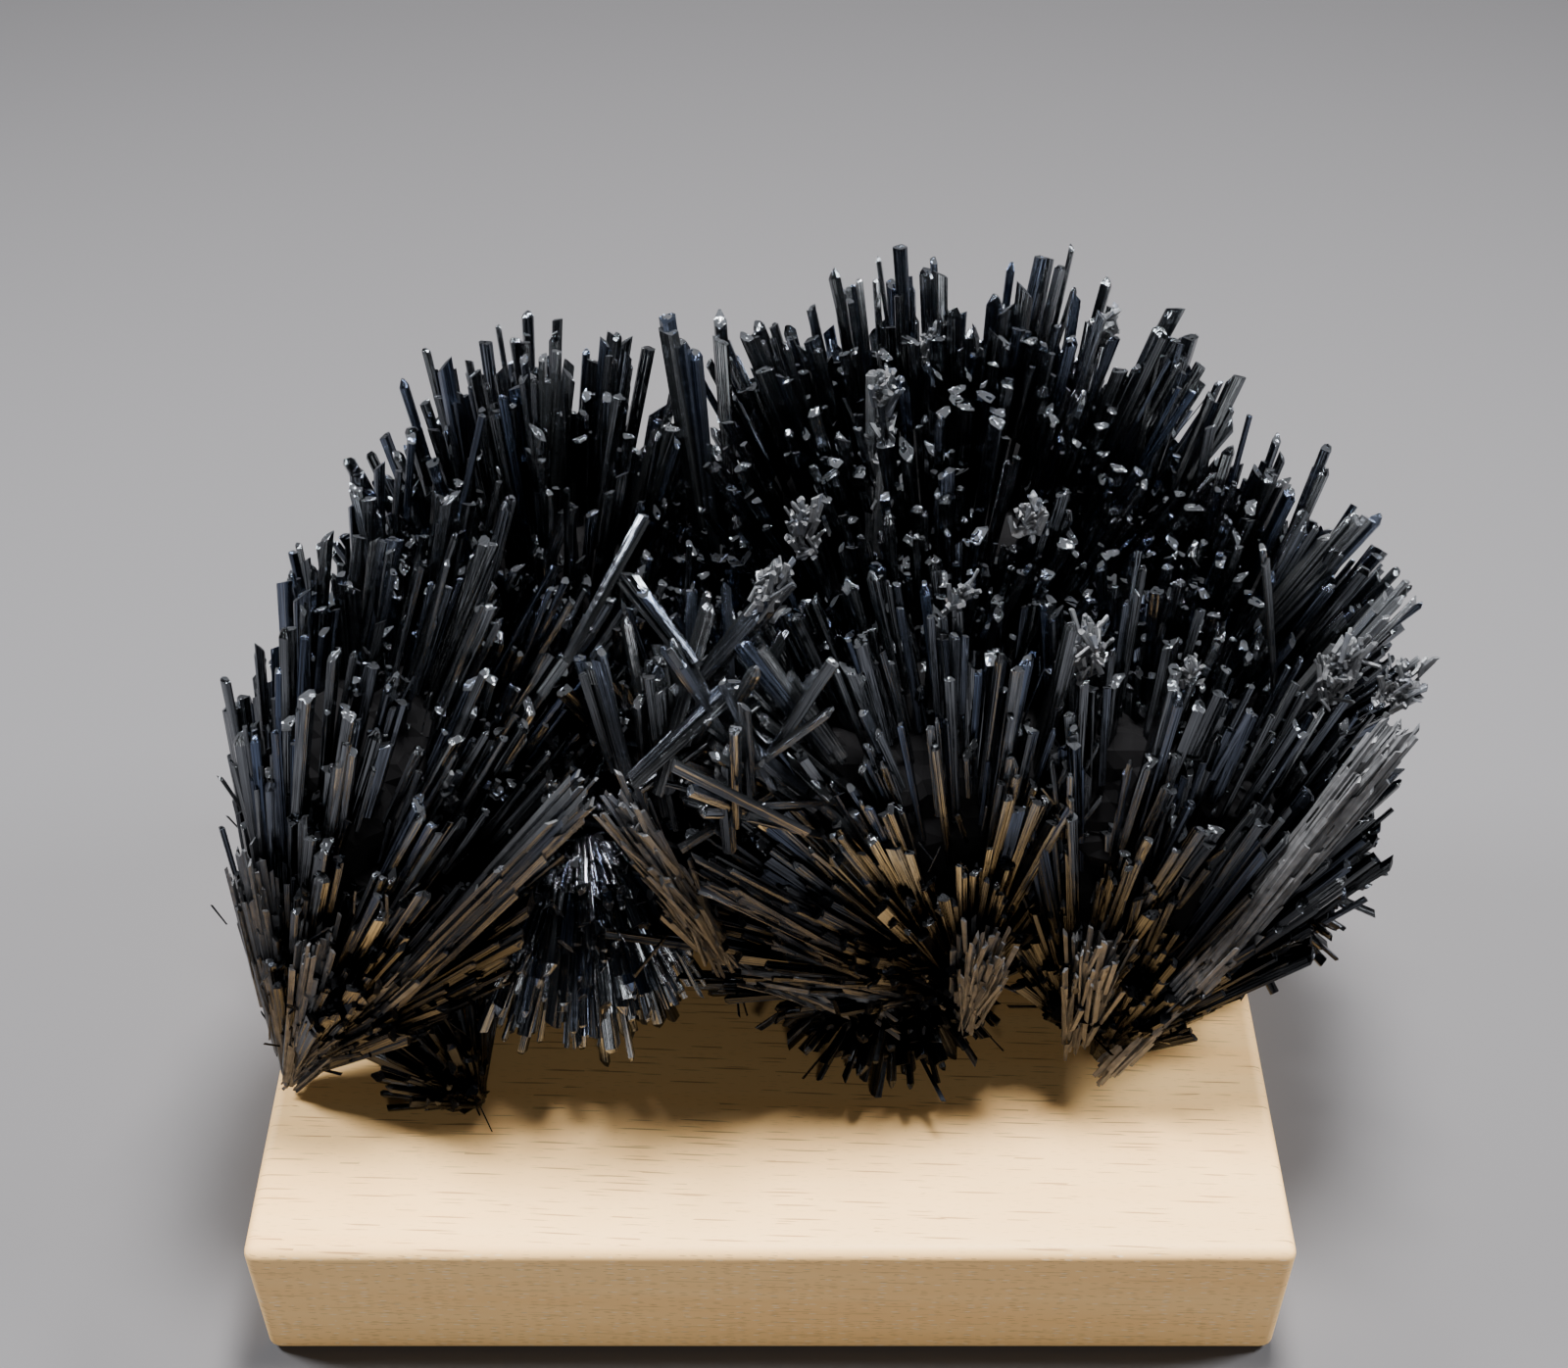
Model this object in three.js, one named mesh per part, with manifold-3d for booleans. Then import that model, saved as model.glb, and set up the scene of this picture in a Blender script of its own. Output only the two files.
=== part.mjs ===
// A stibnite crystal spray standing on its wooden display block.
// Millimetres, +Z up. The origin is the centre of the block's underside, +X is to the right and +Y to the back.
// The spray grew as one piece: a dozen fans of prismatic crystals share a massive core, so it is one solid.
// The block is the other solid, and the spray only rests on it.
import * as THREE from "three";
import { mergeVertices } from "three/addons/utils/BufferGeometryUtils.js";
import Module from "manifold-3d";

const wasm = await Module();
wasm.setup();

// ---- driving dimensions -------------------------------------------------------------------------
const BLOCK = { width: 110, depth: 80, height: 19, edge: 1.6, cornerRadius: 0.8 };
const SEAT_GAP = 0.3; // between the block's top and the crystals that stand on it
const SEAT = BLOCK.height + SEAT_GAP;

const COLUMN_REACH = [0.82, 1]; // the stout columns end between these shares of the way to the fan's lobe
const COLUMN_OVERLAP = 1.04; // neighbouring columns are grown into one another by this much
const COLUMN_SLANT = 0.12; // how far the end of a column leans, as a share of its reach
const COLUMN_WOBBLE = 0.2; // how far the corners of the honeycomb stray, as a share of its pitch
const TIP_SIDES = 5;
const TIP_RADIUS = 1.8; // the slim crystals that stand proud of the columns
const ROOT_RADIUS = 1.2;
const SIMPLIFY = 0.3; // slivers thinner than this, where crystals cross, are merged away
const SHORTEST_REACH = 6;
const SHORTEST_TIP = 15;
const MIDDLE = { centre: [4, 5, 46], radii: [43, 15, 17] }; // the massive crystal that all the fans share

// Each fan spreads from one root, within a cone about its axis, and ends on an ellipsoid lobe.
// Its stout columns fill the cone like a honeycomb of so many rings, and its slim tips stand between them.
const FANS = [
  { root: [-53, -17, 21], lobe: [-36, -4, 49], radii: [21, 17, 32.5], axis: [0.2, 0, 1], spread: 45, rings: 3, tips: 4 },
  { root: [-28, 8, 38], lobe: [-28, 17, 61], radii: [20, 18, 31.5], axis: [0, 0.3, 1], spread: 80, rings: 3, tips: 3 },
  { root: [-32, -21, 20], lobe: [-34, -12, 28], radii: [12, 11, 9], axis: [-0.2, 0.35, 1], spread: 50, rings: 1, tips: 0 },
  { root: [-18, -6, 45], lobe: [-21, -8, 33], radii: [13, 11, 14.5], axis: [-0.1, -0.35, -1], spread: 50, rings: 1, tips: 2 },
  { root: [21, -13, 30], lobe: [8, -6, 56], radii: [28, 15, 34], axis: [-0.3, 0, 1], spread: 70, rings: 3, tips: 4 },
  { root: [14, -10, 34], lobe: [12, -13, 27], radii: [12, 9, 10], axis: [-0.1, -0.3, -1], spread: 60, rings: 1, tips: 0 },
  { root: [20, 15, 52], lobe: [17, 21, 66], radii: [34, 21, 31], axis: [0, 0.1, 1], spread: 95, rings: 3, tips: 5 },
  { root: [36, -16, 24.5], lobe: [45, -8, 46], radii: [23, 13, 24], axis: [0.2, 0.15, 1], spread: 42, rings: 2, tips: 3 },
  { root: [40, 6, 40], lobe: [46, 11, 57], radii: [23, 20, 25], axis: [0.3, 0.1, 1], spread: 85, rings: 3, tips: 3 },
  { root: [46, -2, 43], lobe: [53, -1, 38], radii: [14, 12, 13], axis: [0.8, -0.2, -0.7], spread: 60, rings: 1, tips: 2 },
  { root: [-25, 14, 38], lobe: [-27, 22, 42], radii: [25, 17, 24], axis: [-0.1, 1, 0.1], spread: 75, rings: 2, tips: 2 },
  { root: [25, 16, 40], lobe: [25, 23, 44], radii: [30, 17, 26], axis: [0.1, 1, 0], spread: 75, rings: 2, tips: 2 },
];

// ---- small tools --------------------------------------------------------------------------------
// A seeded generator of numbers from 0 to 1, so that the same spray grows each time.
function seededRandom(seed) {
  let state = seed;
  return () => {
    state = (state + 0x6d2b79f5) | 0;
    let t = Math.imul(state ^ (state >>> 15), 1 | state);
    t = (t + Math.imul(t ^ (t >>> 7), 61 | t)) ^ t;
    return ((t ^ (t >>> 14)) >>> 0) / 4294967296;
  };
}

// A closed geometry as a manifold-3d solid.
function solidOf(geometry) {
  const bare = geometry.clone();
  bare.deleteAttribute("normal");
  bare.deleteAttribute("uv");
  const merged = mergeVertices(bare, 1e-3);
  return new wasm.Manifold(
    new wasm.Mesh({
      numProp: 3,
      vertProperties: new Float32Array(merged.attributes.position.array),
      triVerts: new Uint32Array(merged.index.array),
    }),
  );
}

// A manifold-3d solid as a geometry with flat facets.
function geometryOf(solid) {
  const mesh = solid.getMesh();
  const geometry = new THREE.BufferGeometry();
  geometry.setAttribute("position", new THREE.BufferAttribute(mesh.vertProperties, 3));
  geometry.setIndex(new THREE.BufferAttribute(mesh.triVerts, 1));
  const faceted = geometry.toNonIndexed();
  faceted.computeVertexNormals();
  return faceted;
}

// ---- the spray ----------------------------------------------------------------------------------
// How far a ray from root runs before it leaves the fan's lobe.
function reachAlong(root, direction, fan) {
  const radii = new THREE.Vector3(...fan.radii);
  const start = root.clone().sub(new THREE.Vector3(...fan.lobe)).divide(radii);
  const step = direction.clone().divide(radii);
  const a = step.dot(step);
  const b = start.dot(step);
  const c = start.dot(start) - 1;
  const inside = b * b - a * c;
  return inside > 0 ? (-b + Math.sqrt(inside)) / a : 0;
}

// Directions spread evenly over a cone, on a golden-angle spiral.
function coneDirections(axis, spread, count) {
  const turn = new THREE.Quaternion().setFromUnitVectors(new THREE.Vector3(0, 0, 1), axis);
  const goldenAngle = Math.PI * (3 - Math.sqrt(5));
  const rim = 1 - Math.cos(THREE.MathUtils.degToRad(spread));
  return Array.from({ length: count }, (_, i) => {
    const up = 1 - (rim * (i + 0.5)) / count;
    const out = Math.sqrt(1 - up * up);
    const around = goldenAngle * i;
    return new THREE.Vector3(out * Math.cos(around), out * Math.sin(around), up).applyQuaternion(turn);
  });
}

// One crystal: a prism that widens from the root outwards and ends in a slanting face.
function crystal(root, direction, reach, tipRadius, sides, random) {
  const prism = new THREE.CylinderGeometry(tipRadius, ROOT_RADIUS, reach, sides, 1);
  const slant = 0.15 + 0.45 * random();
  const position = prism.attributes.position;
  for (let i = 0; i < position.count; i += 1) {
    const x = position.getX(i);
    const y = position.getY(i);
    const drop = y > 0 ? slant * (tipRadius - x) : 0;
    position.setY(i, y + reach / 2 - drop);
  }
  prism.rotateY(random() * 2 * Math.PI);
  const turn = new THREE.Quaternion().setFromUnitVectors(new THREE.Vector3(0, 1, 0), direction);
  prism.applyMatrix4(new THREE.Matrix4().compose(root, turn, new THREE.Vector3(1, 1, 1)));
  return solidOf(prism);
}

// The direction u, v degrees away from an axis, as on a map of the sphere centred on that axis.
function directionAt(turn, u, v) {
  const angle = THREE.MathUtils.degToRad(Math.hypot(u, v));
  const bearing = Math.atan2(v, u);
  const direction = new THREE.Vector3(
    Math.sin(angle) * Math.cos(bearing),
    Math.sin(angle) * Math.sin(bearing),
    Math.cos(angle),
  );
  return direction.applyQuaternion(turn);
}

// A corner of the honeycomb, moved a little. Cells that share a corner move it the same way.
function strayed(u, v, pitch) {
  const reach = COLUMN_WOBBLE * pitch;
  return [u + reach * Math.sin(7.1 * u + 3.3 * v), v + reach * Math.sin(5.7 * u - 9.1 * v)];
}

// The middles of the cells, ring by ring, in degrees from the fan's axis.
function honeycombCentres(rings, pitch) {
  const centres = [];
  for (let q = -rings; q <= rings; q += 1) {
    for (let r = -rings; r <= rings; r += 1) {
      if (Math.abs(q + r) <= rings) centres.push([pitch * (q + r / 2), pitch * r * Math.sqrt(0.75)]);
    }
  }
  return centres;
}

// One stout column: a six-sided pyramid with its point at the root and a slanting, faceted end.
function column(root, turn, centre, pitch, fan, random) {
  const corners = [];
  for (let k = 0; k < 6; k += 1) {
    const bearing = ((k + 0.5) * Math.PI) / 3;
    const side = (pitch / Math.sqrt(3)) * COLUMN_OVERLAP;
    const corner = strayed(centre[0] + side * Math.cos(bearing), centre[1] + side * Math.sin(bearing), pitch);
    corners.push(directionAt(turn, ...corner));
  }
  const middle = directionAt(turn, ...centre);
  const share = THREE.MathUtils.lerp(...COLUMN_REACH, random());
  const reach = reachAlong(root, middle, fan) * share;
  if (reach < SHORTEST_REACH) return null;
  const lean = random() * 2 * Math.PI;
  const points = [root];
  for (const [k, corner] of corners.entries()) {
    const slanting = reach * (1 + COLUMN_SLANT * Math.cos((k * Math.PI) / 3 - lean));
    const length = Math.min(slanting, Math.max(reachAlong(root, corner, fan), 0.7 * reach));
    points.push(corner.clone().multiplyScalar(length).add(root));
  }
  points.push(middle.clone().multiplyScalar(reach * 1.02).add(root));
  return wasm.Manifold.hull(points.map((point) => point.toArray()));
}

// The columns of a fan fill its cone, and the slim crystals reach its lobe.
function fanSolids(fan, seed) {
  const random = seededRandom(seed);
  const root = new THREE.Vector3(...fan.root);
  const axis = new THREE.Vector3(...fan.axis).normalize();
  const turn = new THREE.Quaternion().setFromUnitVectors(new THREE.Vector3(0, 0, 1), axis);
  const pitch = fan.spread / (fan.rings + 0.5);
  const solids = honeycombCentres(fan.rings, pitch)
    .map((centre) => column(root, turn, centre, pitch, fan, random))
    .filter((solid) => solid !== null);
  for (const direction of coneDirections(axis, fan.spread * 0.97, fan.tips)) {
    const reach = reachAlong(root, direction, fan);
    const radius = TIP_RADIUS * (0.8 + 0.5 * random());
    if (reach > SHORTEST_TIP) solids.push(crystal(root, direction, reach, radius, TIP_SIDES, random));
  }
  return solids;
}

// A faceted lump of massive crystal.
function lumpSolid(centre, radii) {
  const lump = new THREE.IcosahedronGeometry(1, 1);
  lump.scale(...radii);
  lump.translate(...centre);
  return solidOf(lump);
}

function sprayGeometry() {
  const grown = wasm.Manifold.union([
    lumpSolid(MIDDLE.centre, MIDDLE.radii),
    ...FANS.flatMap((fan, i) => fanSolids(fan, i + 1)),
  ]);
  const standing = grown.simplify(SIMPLIFY).trimByPlane([0, 0, 1], SEAT);
  const whole = standing.decompose().sort((a, b) => b.volume() - a.volume())[0];
  return geometryOf(whole);
}

// ---- the block ----------------------------------------------------------------------------------
// A planed board with its long and short edges eased, drawn as a rounded rectangle and extruded upwards.
function blockGeometry() {
  const { width, depth, height, edge, cornerRadius } = BLOCK;
  const x = width / 2 - edge;
  const y = depth / 2 - edge;
  const r = cornerRadius;
  const outline = new THREE.Shape();
  outline.moveTo(-x + r, -y);
  outline.lineTo(x - r, -y);
  outline.absarc(x - r, -y + r, r, -Math.PI / 2, 0, false);
  outline.lineTo(x, y - r);
  outline.absarc(x - r, y - r, r, 0, Math.PI / 2, false);
  outline.lineTo(-x + r, y);
  outline.absarc(-x + r, y - r, r, Math.PI / 2, Math.PI, false);
  outline.lineTo(-x, -y + r);
  outline.absarc(-x + r, -y + r, r, Math.PI, 1.5 * Math.PI, false);
  const board = new THREE.ExtrudeGeometry(outline, {
    depth: height - 2 * edge,
    curveSegments: 2,
    bevelThickness: edge,
    bevelSize: edge,
    bevelSegments: 2,
  });
  board.translate(0, 0, edge);
  return board;
}

// ---- the object ---------------------------------------------------------------------------------
const stibnite = new THREE.MeshStandardMaterial({ color: 0x1b1c20, roughness: 0.28, metalness: 0.9, flatShading: true });
const paleWood = new THREE.MeshStandardMaterial({ color: 0xe0bd8a, roughness: 0.6, metalness: 0 });

const spray = new THREE.Mesh(sprayGeometry(), stibnite);
spray.name = "stibnite_spray";

const block = new THREE.Mesh(blockGeometry(), paleWood);
block.name = "display_block";

const specimenOnBlock = new THREE.Group();
specimenOnBlock.add(block, spray);

export default specimenOnBlock;
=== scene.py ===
# %% [markdown]
# # A stibnite crystal spray on its display block
# Stibnite grows as long, lengthwise-grooved metallic crystals that fan out from shared roots.
# This specimen has some eighteen such fans grown into one another, and it rests on a planed wooden block.
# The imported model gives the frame: its two boxes say where the spray and the block are, in metres.

# %% Load the frame
import math
from collections import namedtuple

import bmesh
import bpy
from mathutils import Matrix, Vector


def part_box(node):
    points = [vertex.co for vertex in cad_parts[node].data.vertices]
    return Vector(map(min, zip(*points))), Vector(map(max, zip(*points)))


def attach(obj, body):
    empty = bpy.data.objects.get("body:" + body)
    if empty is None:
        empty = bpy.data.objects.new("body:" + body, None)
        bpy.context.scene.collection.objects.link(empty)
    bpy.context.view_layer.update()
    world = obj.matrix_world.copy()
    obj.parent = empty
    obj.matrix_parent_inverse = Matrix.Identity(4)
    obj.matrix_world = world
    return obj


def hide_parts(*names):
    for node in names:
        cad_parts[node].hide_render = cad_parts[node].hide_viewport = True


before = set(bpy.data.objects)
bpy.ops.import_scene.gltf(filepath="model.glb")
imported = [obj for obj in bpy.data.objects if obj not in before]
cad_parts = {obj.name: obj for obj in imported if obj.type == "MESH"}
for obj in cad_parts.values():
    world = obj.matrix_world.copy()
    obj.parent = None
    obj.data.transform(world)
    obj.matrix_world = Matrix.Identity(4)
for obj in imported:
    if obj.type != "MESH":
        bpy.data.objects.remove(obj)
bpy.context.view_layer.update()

spray_low, spray_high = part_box("stibnite_spray")
block_low, block_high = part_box("display_block")
MM = 0.001
base_centre = Vector(((block_low.x + block_high.x) / 2, (block_low.y + block_high.y) / 2, block_low.z))


def at(x, y, z):
    """A place in millimetres from the centre of the block's underside, in metres."""
    return base_centre + Vector((x, y, z)) * MM


print("spray box, mm:", [round(v / MM, 1) for v in (*spray_low, *spray_high)])

# %% [markdown]
# ## Camera and lights
# The camera looks down on the spray from the front at about 44 degrees, with a long-ish lens.
# Metal shows what is around it, so the lights matter more than its own colour: three small bright boxes above
# and a smaller one in front give the glints, and the dark room gives the blacks. A low, wide strip in front
# shows in the upright faces without shining under the spray. One large lamp would have made the metal look
# like grey plastic.

# %% Camera
CAMERA_PLACE = (1.45, -166.2, 221.1)  # mm from the centre of the block's underside
CAMERA_PITCH = 43.6  # degrees below the horizon
CAMERA_LENS = 51.07  # mm, on a 36 mm sensor

camera_data = bpy.data.cameras.new("camera")
camera_data.lens = CAMERA_LENS
camera_data.sensor_width = 36
camera_data.clip_start = 0.01
camera = bpy.data.objects.new("camera", camera_data)
camera.location = at(*CAMERA_PLACE)
camera.rotation_euler = (math.radians(90 - CAMERA_PITCH), 0, 0)
bpy.context.scene.collection.objects.link(camera)
bpy.context.scene.camera = camera
print("camera at, mm:", CAMERA_PLACE)

# %% Lights
SpotBox = namedtuple("SpotBox", "name place aim width height watts colour")  # mm, but metres for the sizes
LIGHTS = [
    SpotBox("key_overhead", (30, 40, 400), (0, 0, 30), 0.09, 0.08, 5.6, (1.0, 0.98, 0.95)),
    SpotBox("key_left", (-300, 60, 300), (0, 0, 30), 0.08, 0.10, 2.6, (0.96, 0.98, 1.0)),
    SpotBox("key_right", (330, 40, 300), (0, 0, 30), 0.08, 0.10, 2.6, (0.96, 0.98, 1.0)),
    SpotBox("glint_front", (40, -420, 210), (0, 0, 60), 0.1, 0.035, 0.3, (1.0, 0.98, 0.95)),
    SpotBox("fill_front", (-40, -600, 42), (0, -60, 30), 0.9, 0.06, 0.5, (1.0, 0.97, 0.93)),
]


def add_light(light):
    """One soft box: an area light turned to face its aim."""
    lamp = bpy.data.lights.new(light.name, "AREA")
    lamp.shape = "RECTANGLE"
    lamp.size, lamp.size_y = light.width, light.height
    lamp.energy = light.watts
    lamp.color = light.colour
    holder = bpy.data.objects.new(light.name, lamp)
    holder.location = at(*light.place)
    holder.rotation_euler = (at(*light.aim) - holder.location).to_track_quat("-Z", "Y").to_euler()
    bpy.context.scene.collection.objects.link(holder)
    return holder


for light in LIGHTS:
    add_light(light)

world = bpy.data.worlds.new("dim_room")
world.use_nodes = True
ROOM_COLOUR, ROOM_STRENGTH = (0.78, 0.84, 1.0, 1), 0.025
world.node_tree.nodes["Background"].inputs["Color"].default_value = ROOM_COLOUR
world.node_tree.nodes["Background"].inputs["Strength"].default_value = ROOM_STRENGTH
bpy.context.scene.world = world
print(len(LIGHTS), "lights")

# %% [markdown]
# ## Node helpers
# Shader trees and geometry trees are built the same way: add a node, set it, and link its sockets.
# These few helpers keep that to one line a node, so that the trees below read as sums.

# %% Node helpers
def live(sockets, name):
    """The socket of that name or place that the node is using."""
    if isinstance(name, int):
        return sockets[name]
    return next(s for s in sockets if s.enabled and s.name == name)


def add_node(tree, kind, feeds=None, **settings):
    """Adds a node. feeds maps its input names to values or to the sockets that feed them."""
    made = tree.nodes.new(kind)
    for key, value in settings.items():
        setattr(made, key, value)
    for name, value in (feeds or {}).items():
        target = live(made.inputs, name)
        if isinstance(value, bpy.types.NodeSocket):
            tree.links.new(value, target)
        else:
            target.default_value = value
    return made


def joined_geometry(tree, *parts):
    """Several geometries in one."""
    made = tree.nodes.new("GeometryNodeJoinGeometry")
    for part in parts:
        tree.links.new(part, made.inputs[0])
    return made.outputs[0]


class Sums:
    """Arithmetic nodes of one tree."""

    def __init__(self, tree):
        self.tree = tree

    def number(self, operation, a, b=0.0, c=0.0):
        return add_node(self.tree, "ShaderNodeMath", {0: a, 1: b, 2: c}, operation=operation).outputs[0]

    def plus(self, a, b):
        return self.number("ADD", a, b)

    def minus(self, a, b):
        return self.number("SUBTRACT", a, b)

    def times(self, a, b):
        return self.number("MULTIPLY", a, b)

    def vector(self, operation, a, b=(0, 0, 0)):
        made = add_node(self.tree, "ShaderNodeVectorMath", {0: a, 1: b}, operation=operation)
        return made.outputs[1 if operation in ("DOT_PRODUCT", "LENGTH") else 0]

    def scaled(self, vector, factor):
        feeds = {0: vector, "Scale": factor}
        return add_node(self.tree, "ShaderNodeVectorMath", feeds, operation="SCALE").outputs[0]

    def joined(self, x, y, z):
        return add_node(self.tree, "ShaderNodeCombineXYZ", {0: x, 1: y, 2: z}).outputs[0]

    def split(self, vector):
        """The three parts of a vector."""
        return tuple(add_node(self.tree, "ShaderNodeSeparateXYZ", {0: vector}).outputs)

    def between(self, low, high, share):
        """low + (high - low) * share"""
        return self.number("MULTIPLY_ADD", self.number("SUBTRACT", high, low), share, low)

    def clamped_map(self, value, low, high, to_low=0.0, to_high=1.0, smooth=False):
        feeds = {0: value, 1: low, 2: high, 3: to_low, 4: to_high}
        kind = "SMOOTHSTEP" if smooth else "LINEAR"
        return add_node(self.tree, "ShaderNodeMapRange", feeds, interpolation_type=kind).outputs[0]


# %% [markdown]
# ## The metallic finish of the crystals
# Stibnite is a lead-grey metal-like mineral with fine grooves along each crystal, so a face mirrors lights as a
# bundle of thin lines. The grooves are a noise that is stretched along the crystal, in the crystal's own strip
# coordinates (round it, along it), and fed to a bump. Near the roots the needles merge into dull stibnite with
# brown iron stains, mixed in by how far along its fan a point lies. Painted shade darkens the grooves' floors,
# all that is deep in a fan, and the low crystals of the rusty fans by how low they are above the block, so that
# they don't mirror the bright wood. One glossy metal all over would have mirrored the bright wood in every low
# crystal.

# %% Stibnite material
def principled(name):
    """A new node material and its shader."""
    material = bpy.data.materials.new(name)
    material.use_nodes = True
    return material, material.node_tree, material.node_tree.nodes["Principled BSDF"]


def mixed(tree, share, first, second):
    """A colour mix."""
    feeds = {"Factor": share, "A": first, "B": second}
    made = add_node(tree, "ShaderNodeMix", feeds, data_type="RGBA")
    return live(made.outputs, "Result")


def noise_of(tree, vector, scale, detail=2.0, roughness=0.5):
    feeds = {"Vector": vector, "Scale": scale, "Detail": detail, "Roughness": roughness}
    return add_node(tree, "ShaderNodeTexNoise", feeds).outputs[0]


def attribute(tree, name, output="Fac"):
    return add_node(tree, "ShaderNodeAttribute", attribute_name=name).outputs[output]


FRESH_FACE = (0.25, 0.27, 0.295, 1)
BLUED_FACE = (0.12, 0.16, 0.26, 1)
DULL_FACE = (0.23, 0.235, 0.25, 1)
# Painted shade for the grooves' floors and for all that is deep in a fan; the dark metal of etched ends and
# pits.
DARK_METAL_AND_PAINTED_SHADE = (0.03, 0.032, 0.036, 1)
# Painted shade for crystals that lie low above the block.
PAINTED_LOW_SHADE_FACE = (0.009, 0.0095, 0.011, 1)
RUST_PALE = (0.24, 0.14, 0.072, 1)
RUST_DARK = (0.06, 0.032, 0.018, 1)
GROOVES_ROUND_AND_ALONG = (20, 1.0, 1)  # a few broad grooves
LINES_ROUND_AND_ALONG = (52, 2.2, 1)  # many fine ones
PATCH_SCALE, STAIN_SCALE, PIT_SCALE, SPECK_SCALE = 200.0, 700.0, 900.0, 2100.0  # bumps in a metre
ALMOST_AT_THE_TIP = 0.999  # only the end face of a crystal lies past this in the strip coordinates
PAINTED_SHADE_BELOW, PAINTED_SHADE_GONE = 0.042, 0.07  # heights, in metres
DULL_METALLIC = 0.35
GROOVE_DEPTH = 0.00013  # metres


def stibnite_material():
    material, tree, shader = principled("grooved_stibnite")
    sums = Sums(tree)
    place = add_node(tree, "ShaderNodeTexCoord").outputs["Object"]
    strip = attribute(tree, "strip", "Vector")
    tone, away = attribute(tree, "tone"), attribute(tree, "away")
    dull, rust = attribute(tree, "dull"), attribute(tree, "rust")

    # Grooves: many round the crystal, few along it, and different on each crystal.
    own = sums.joined(sums.times(tone, 37.0), sums.times(tone, 91.0), tone)
    shifted = sums.vector("ADD", strip, own)
    grooves = noise_of(tree, sums.vector("MULTIPLY", shifted, GROOVES_ROUND_AND_ALONG), 1.0, 0.0, 0.6)
    lines = noise_of(tree, sums.vector("MULTIPLY", shifted, LINES_ROUND_AND_ALONG), 1.0, 1.0, 0.65)
    pits = noise_of(tree, place, PIT_SCALE, 1.0, 0.6)

    # The cut ends are etched dark, but for a few specks.
    _, along, _ = sums.split(strip)
    unspecked = sums.clamped_map(noise_of(tree, place, SPECK_SCALE, 0.0), 0.56, 0.62, 1.0, 0.0)
    etched = sums.times(sums.number("GREATER_THAN", along, ALMOST_AT_THE_TIP), unspecked)

    # Where the crystals are dull, and where they are stained.
    patches = noise_of(tree, place, PATCH_SCALE, 1.0, 0.6)
    uneven = sums.plus(away, sums.times(sums.minus(patches, 0.5), 0.5))
    rooted = sums.minus(1.0, sums.clamped_map(uneven, 0.02, 0.34, smooth=True))
    dulled = sums.number("MAXIMUM", sums.times(rooted, 0.2), dull)
    stain_patches = sums.clamped_map(noise_of(tree, place, STAIN_SCALE, 1.0, 0.7), 0.53, 0.60)
    near_root = sums.clamped_map(uneven, -0.05, 0.14, 1.0, 0.0, smooth=True)
    stained = sums.times(sums.times(near_root, stain_patches), sums.times(rust, 0.9))

    # Some crystals are bluer. Painted shade darkens the floors of the grooves, all that is deep in a fan, and
    # the crystals low above the block.
    fresh = mixed(tree, sums.clamped_map(tone, 0.6, 1.0), FRESH_FACE, BLUED_FACE)
    fresh = mixed(tree, sums.clamped_map(lines, 0.35, 0.6, 0.75, 0.0), fresh, DARK_METAL_AND_PAINTED_SHADE)
    # Painted shade: all that lies deep in a fan is mixed towards the dark colour.
    deep_painted_shade = sums.clamped_map(uneven, 0.4, 1.0, 0.85, 0.1, smooth=True)
    fresh = mixed(tree, sums.number("MAXIMUM", deep_painted_shade, etched), fresh, DARK_METAL_AND_PAINTED_SHADE)
    # Painted shade: the crystals of the rusty fans are darkened by how low they lie above the block.
    _, _, height = sums.split(place)
    low_down = sums.clamped_map(height, PAINTED_SHADE_BELOW, PAINTED_SHADE_GONE, 0.9, 0.0, smooth=True)
    low_painted_shade = sums.times(low_down, sums.clamped_map(rust, 0.1, 0.22))
    fresh = mixed(tree, low_painted_shade, fresh, PAINTED_LOW_SHADE_FACE)
    metal = mixed(tree, dulled, fresh, mixed(tree, pits, DARK_METAL_AND_PAINTED_SHADE, DULL_FACE))
    rusty = mixed(tree, sums.clamped_map(pits, 0.35, 0.65), RUST_DARK, RUST_PALE)
    tree.links.new(mixed(tree, stained, metal, rusty), shader.inputs["Base Color"])

    bare = sums.minus(1.0, stained)
    tree.links.new(sums.times(bare, sums.between(1.0, DULL_METALLIC, dulled)), shader.inputs["Metallic"])
    gloss = sums.clamped_map(lines, 0.3, 0.7, 0.06, 0.16)
    rough = sums.number("MAXIMUM", gloss, sums.times(dulled, 0.55))
    rough = sums.number("MAXIMUM", rough, sums.times(etched, 0.6))
    tree.links.new(sums.number("MAXIMUM", rough, sums.times(stained, 0.85)), shader.inputs["Roughness"])

    grain = sums.times(pits, sums.plus(dulled, 0.15))
    relief = sums.plus(sums.plus(grooves, sums.times(lines, 0.6)), grain)
    bump = add_node(tree, "ShaderNodeBump", {"Strength": 0.7, "Distance": GROOVE_DEPTH, "Height": relief})
    tree.links.new(bump.outputs[0], shader.inputs["Normal"])
    return material


stibnite = stibnite_material()
print("material:", stibnite.name, len(stibnite.node_tree.nodes), "nodes")

# %% [markdown]
# ## The shapes of single crystals
# A stibnite crystal is a prism with many narrow, uneven faces and a slanting or chisel-shaped end.
# It could be one cylinder used everywhere, but real ends differ, so there are a dozen short shapes: stout ones
# with seven sides, middling ones with six and needles with four, because there are thousands of needles and
# they are too thin to show more. A shape is one unit thick and has no length of its own: the attribute "end"
# says how far a point travels along the crystal when it is planted, so long crystals don't get stretched ends.

# %% Crystal shapes
# A ring's end is a share of the length. Its lift, size and lean are in thicknesses.
Ring = namedtuple("Ring", "end lift size lean")


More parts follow.
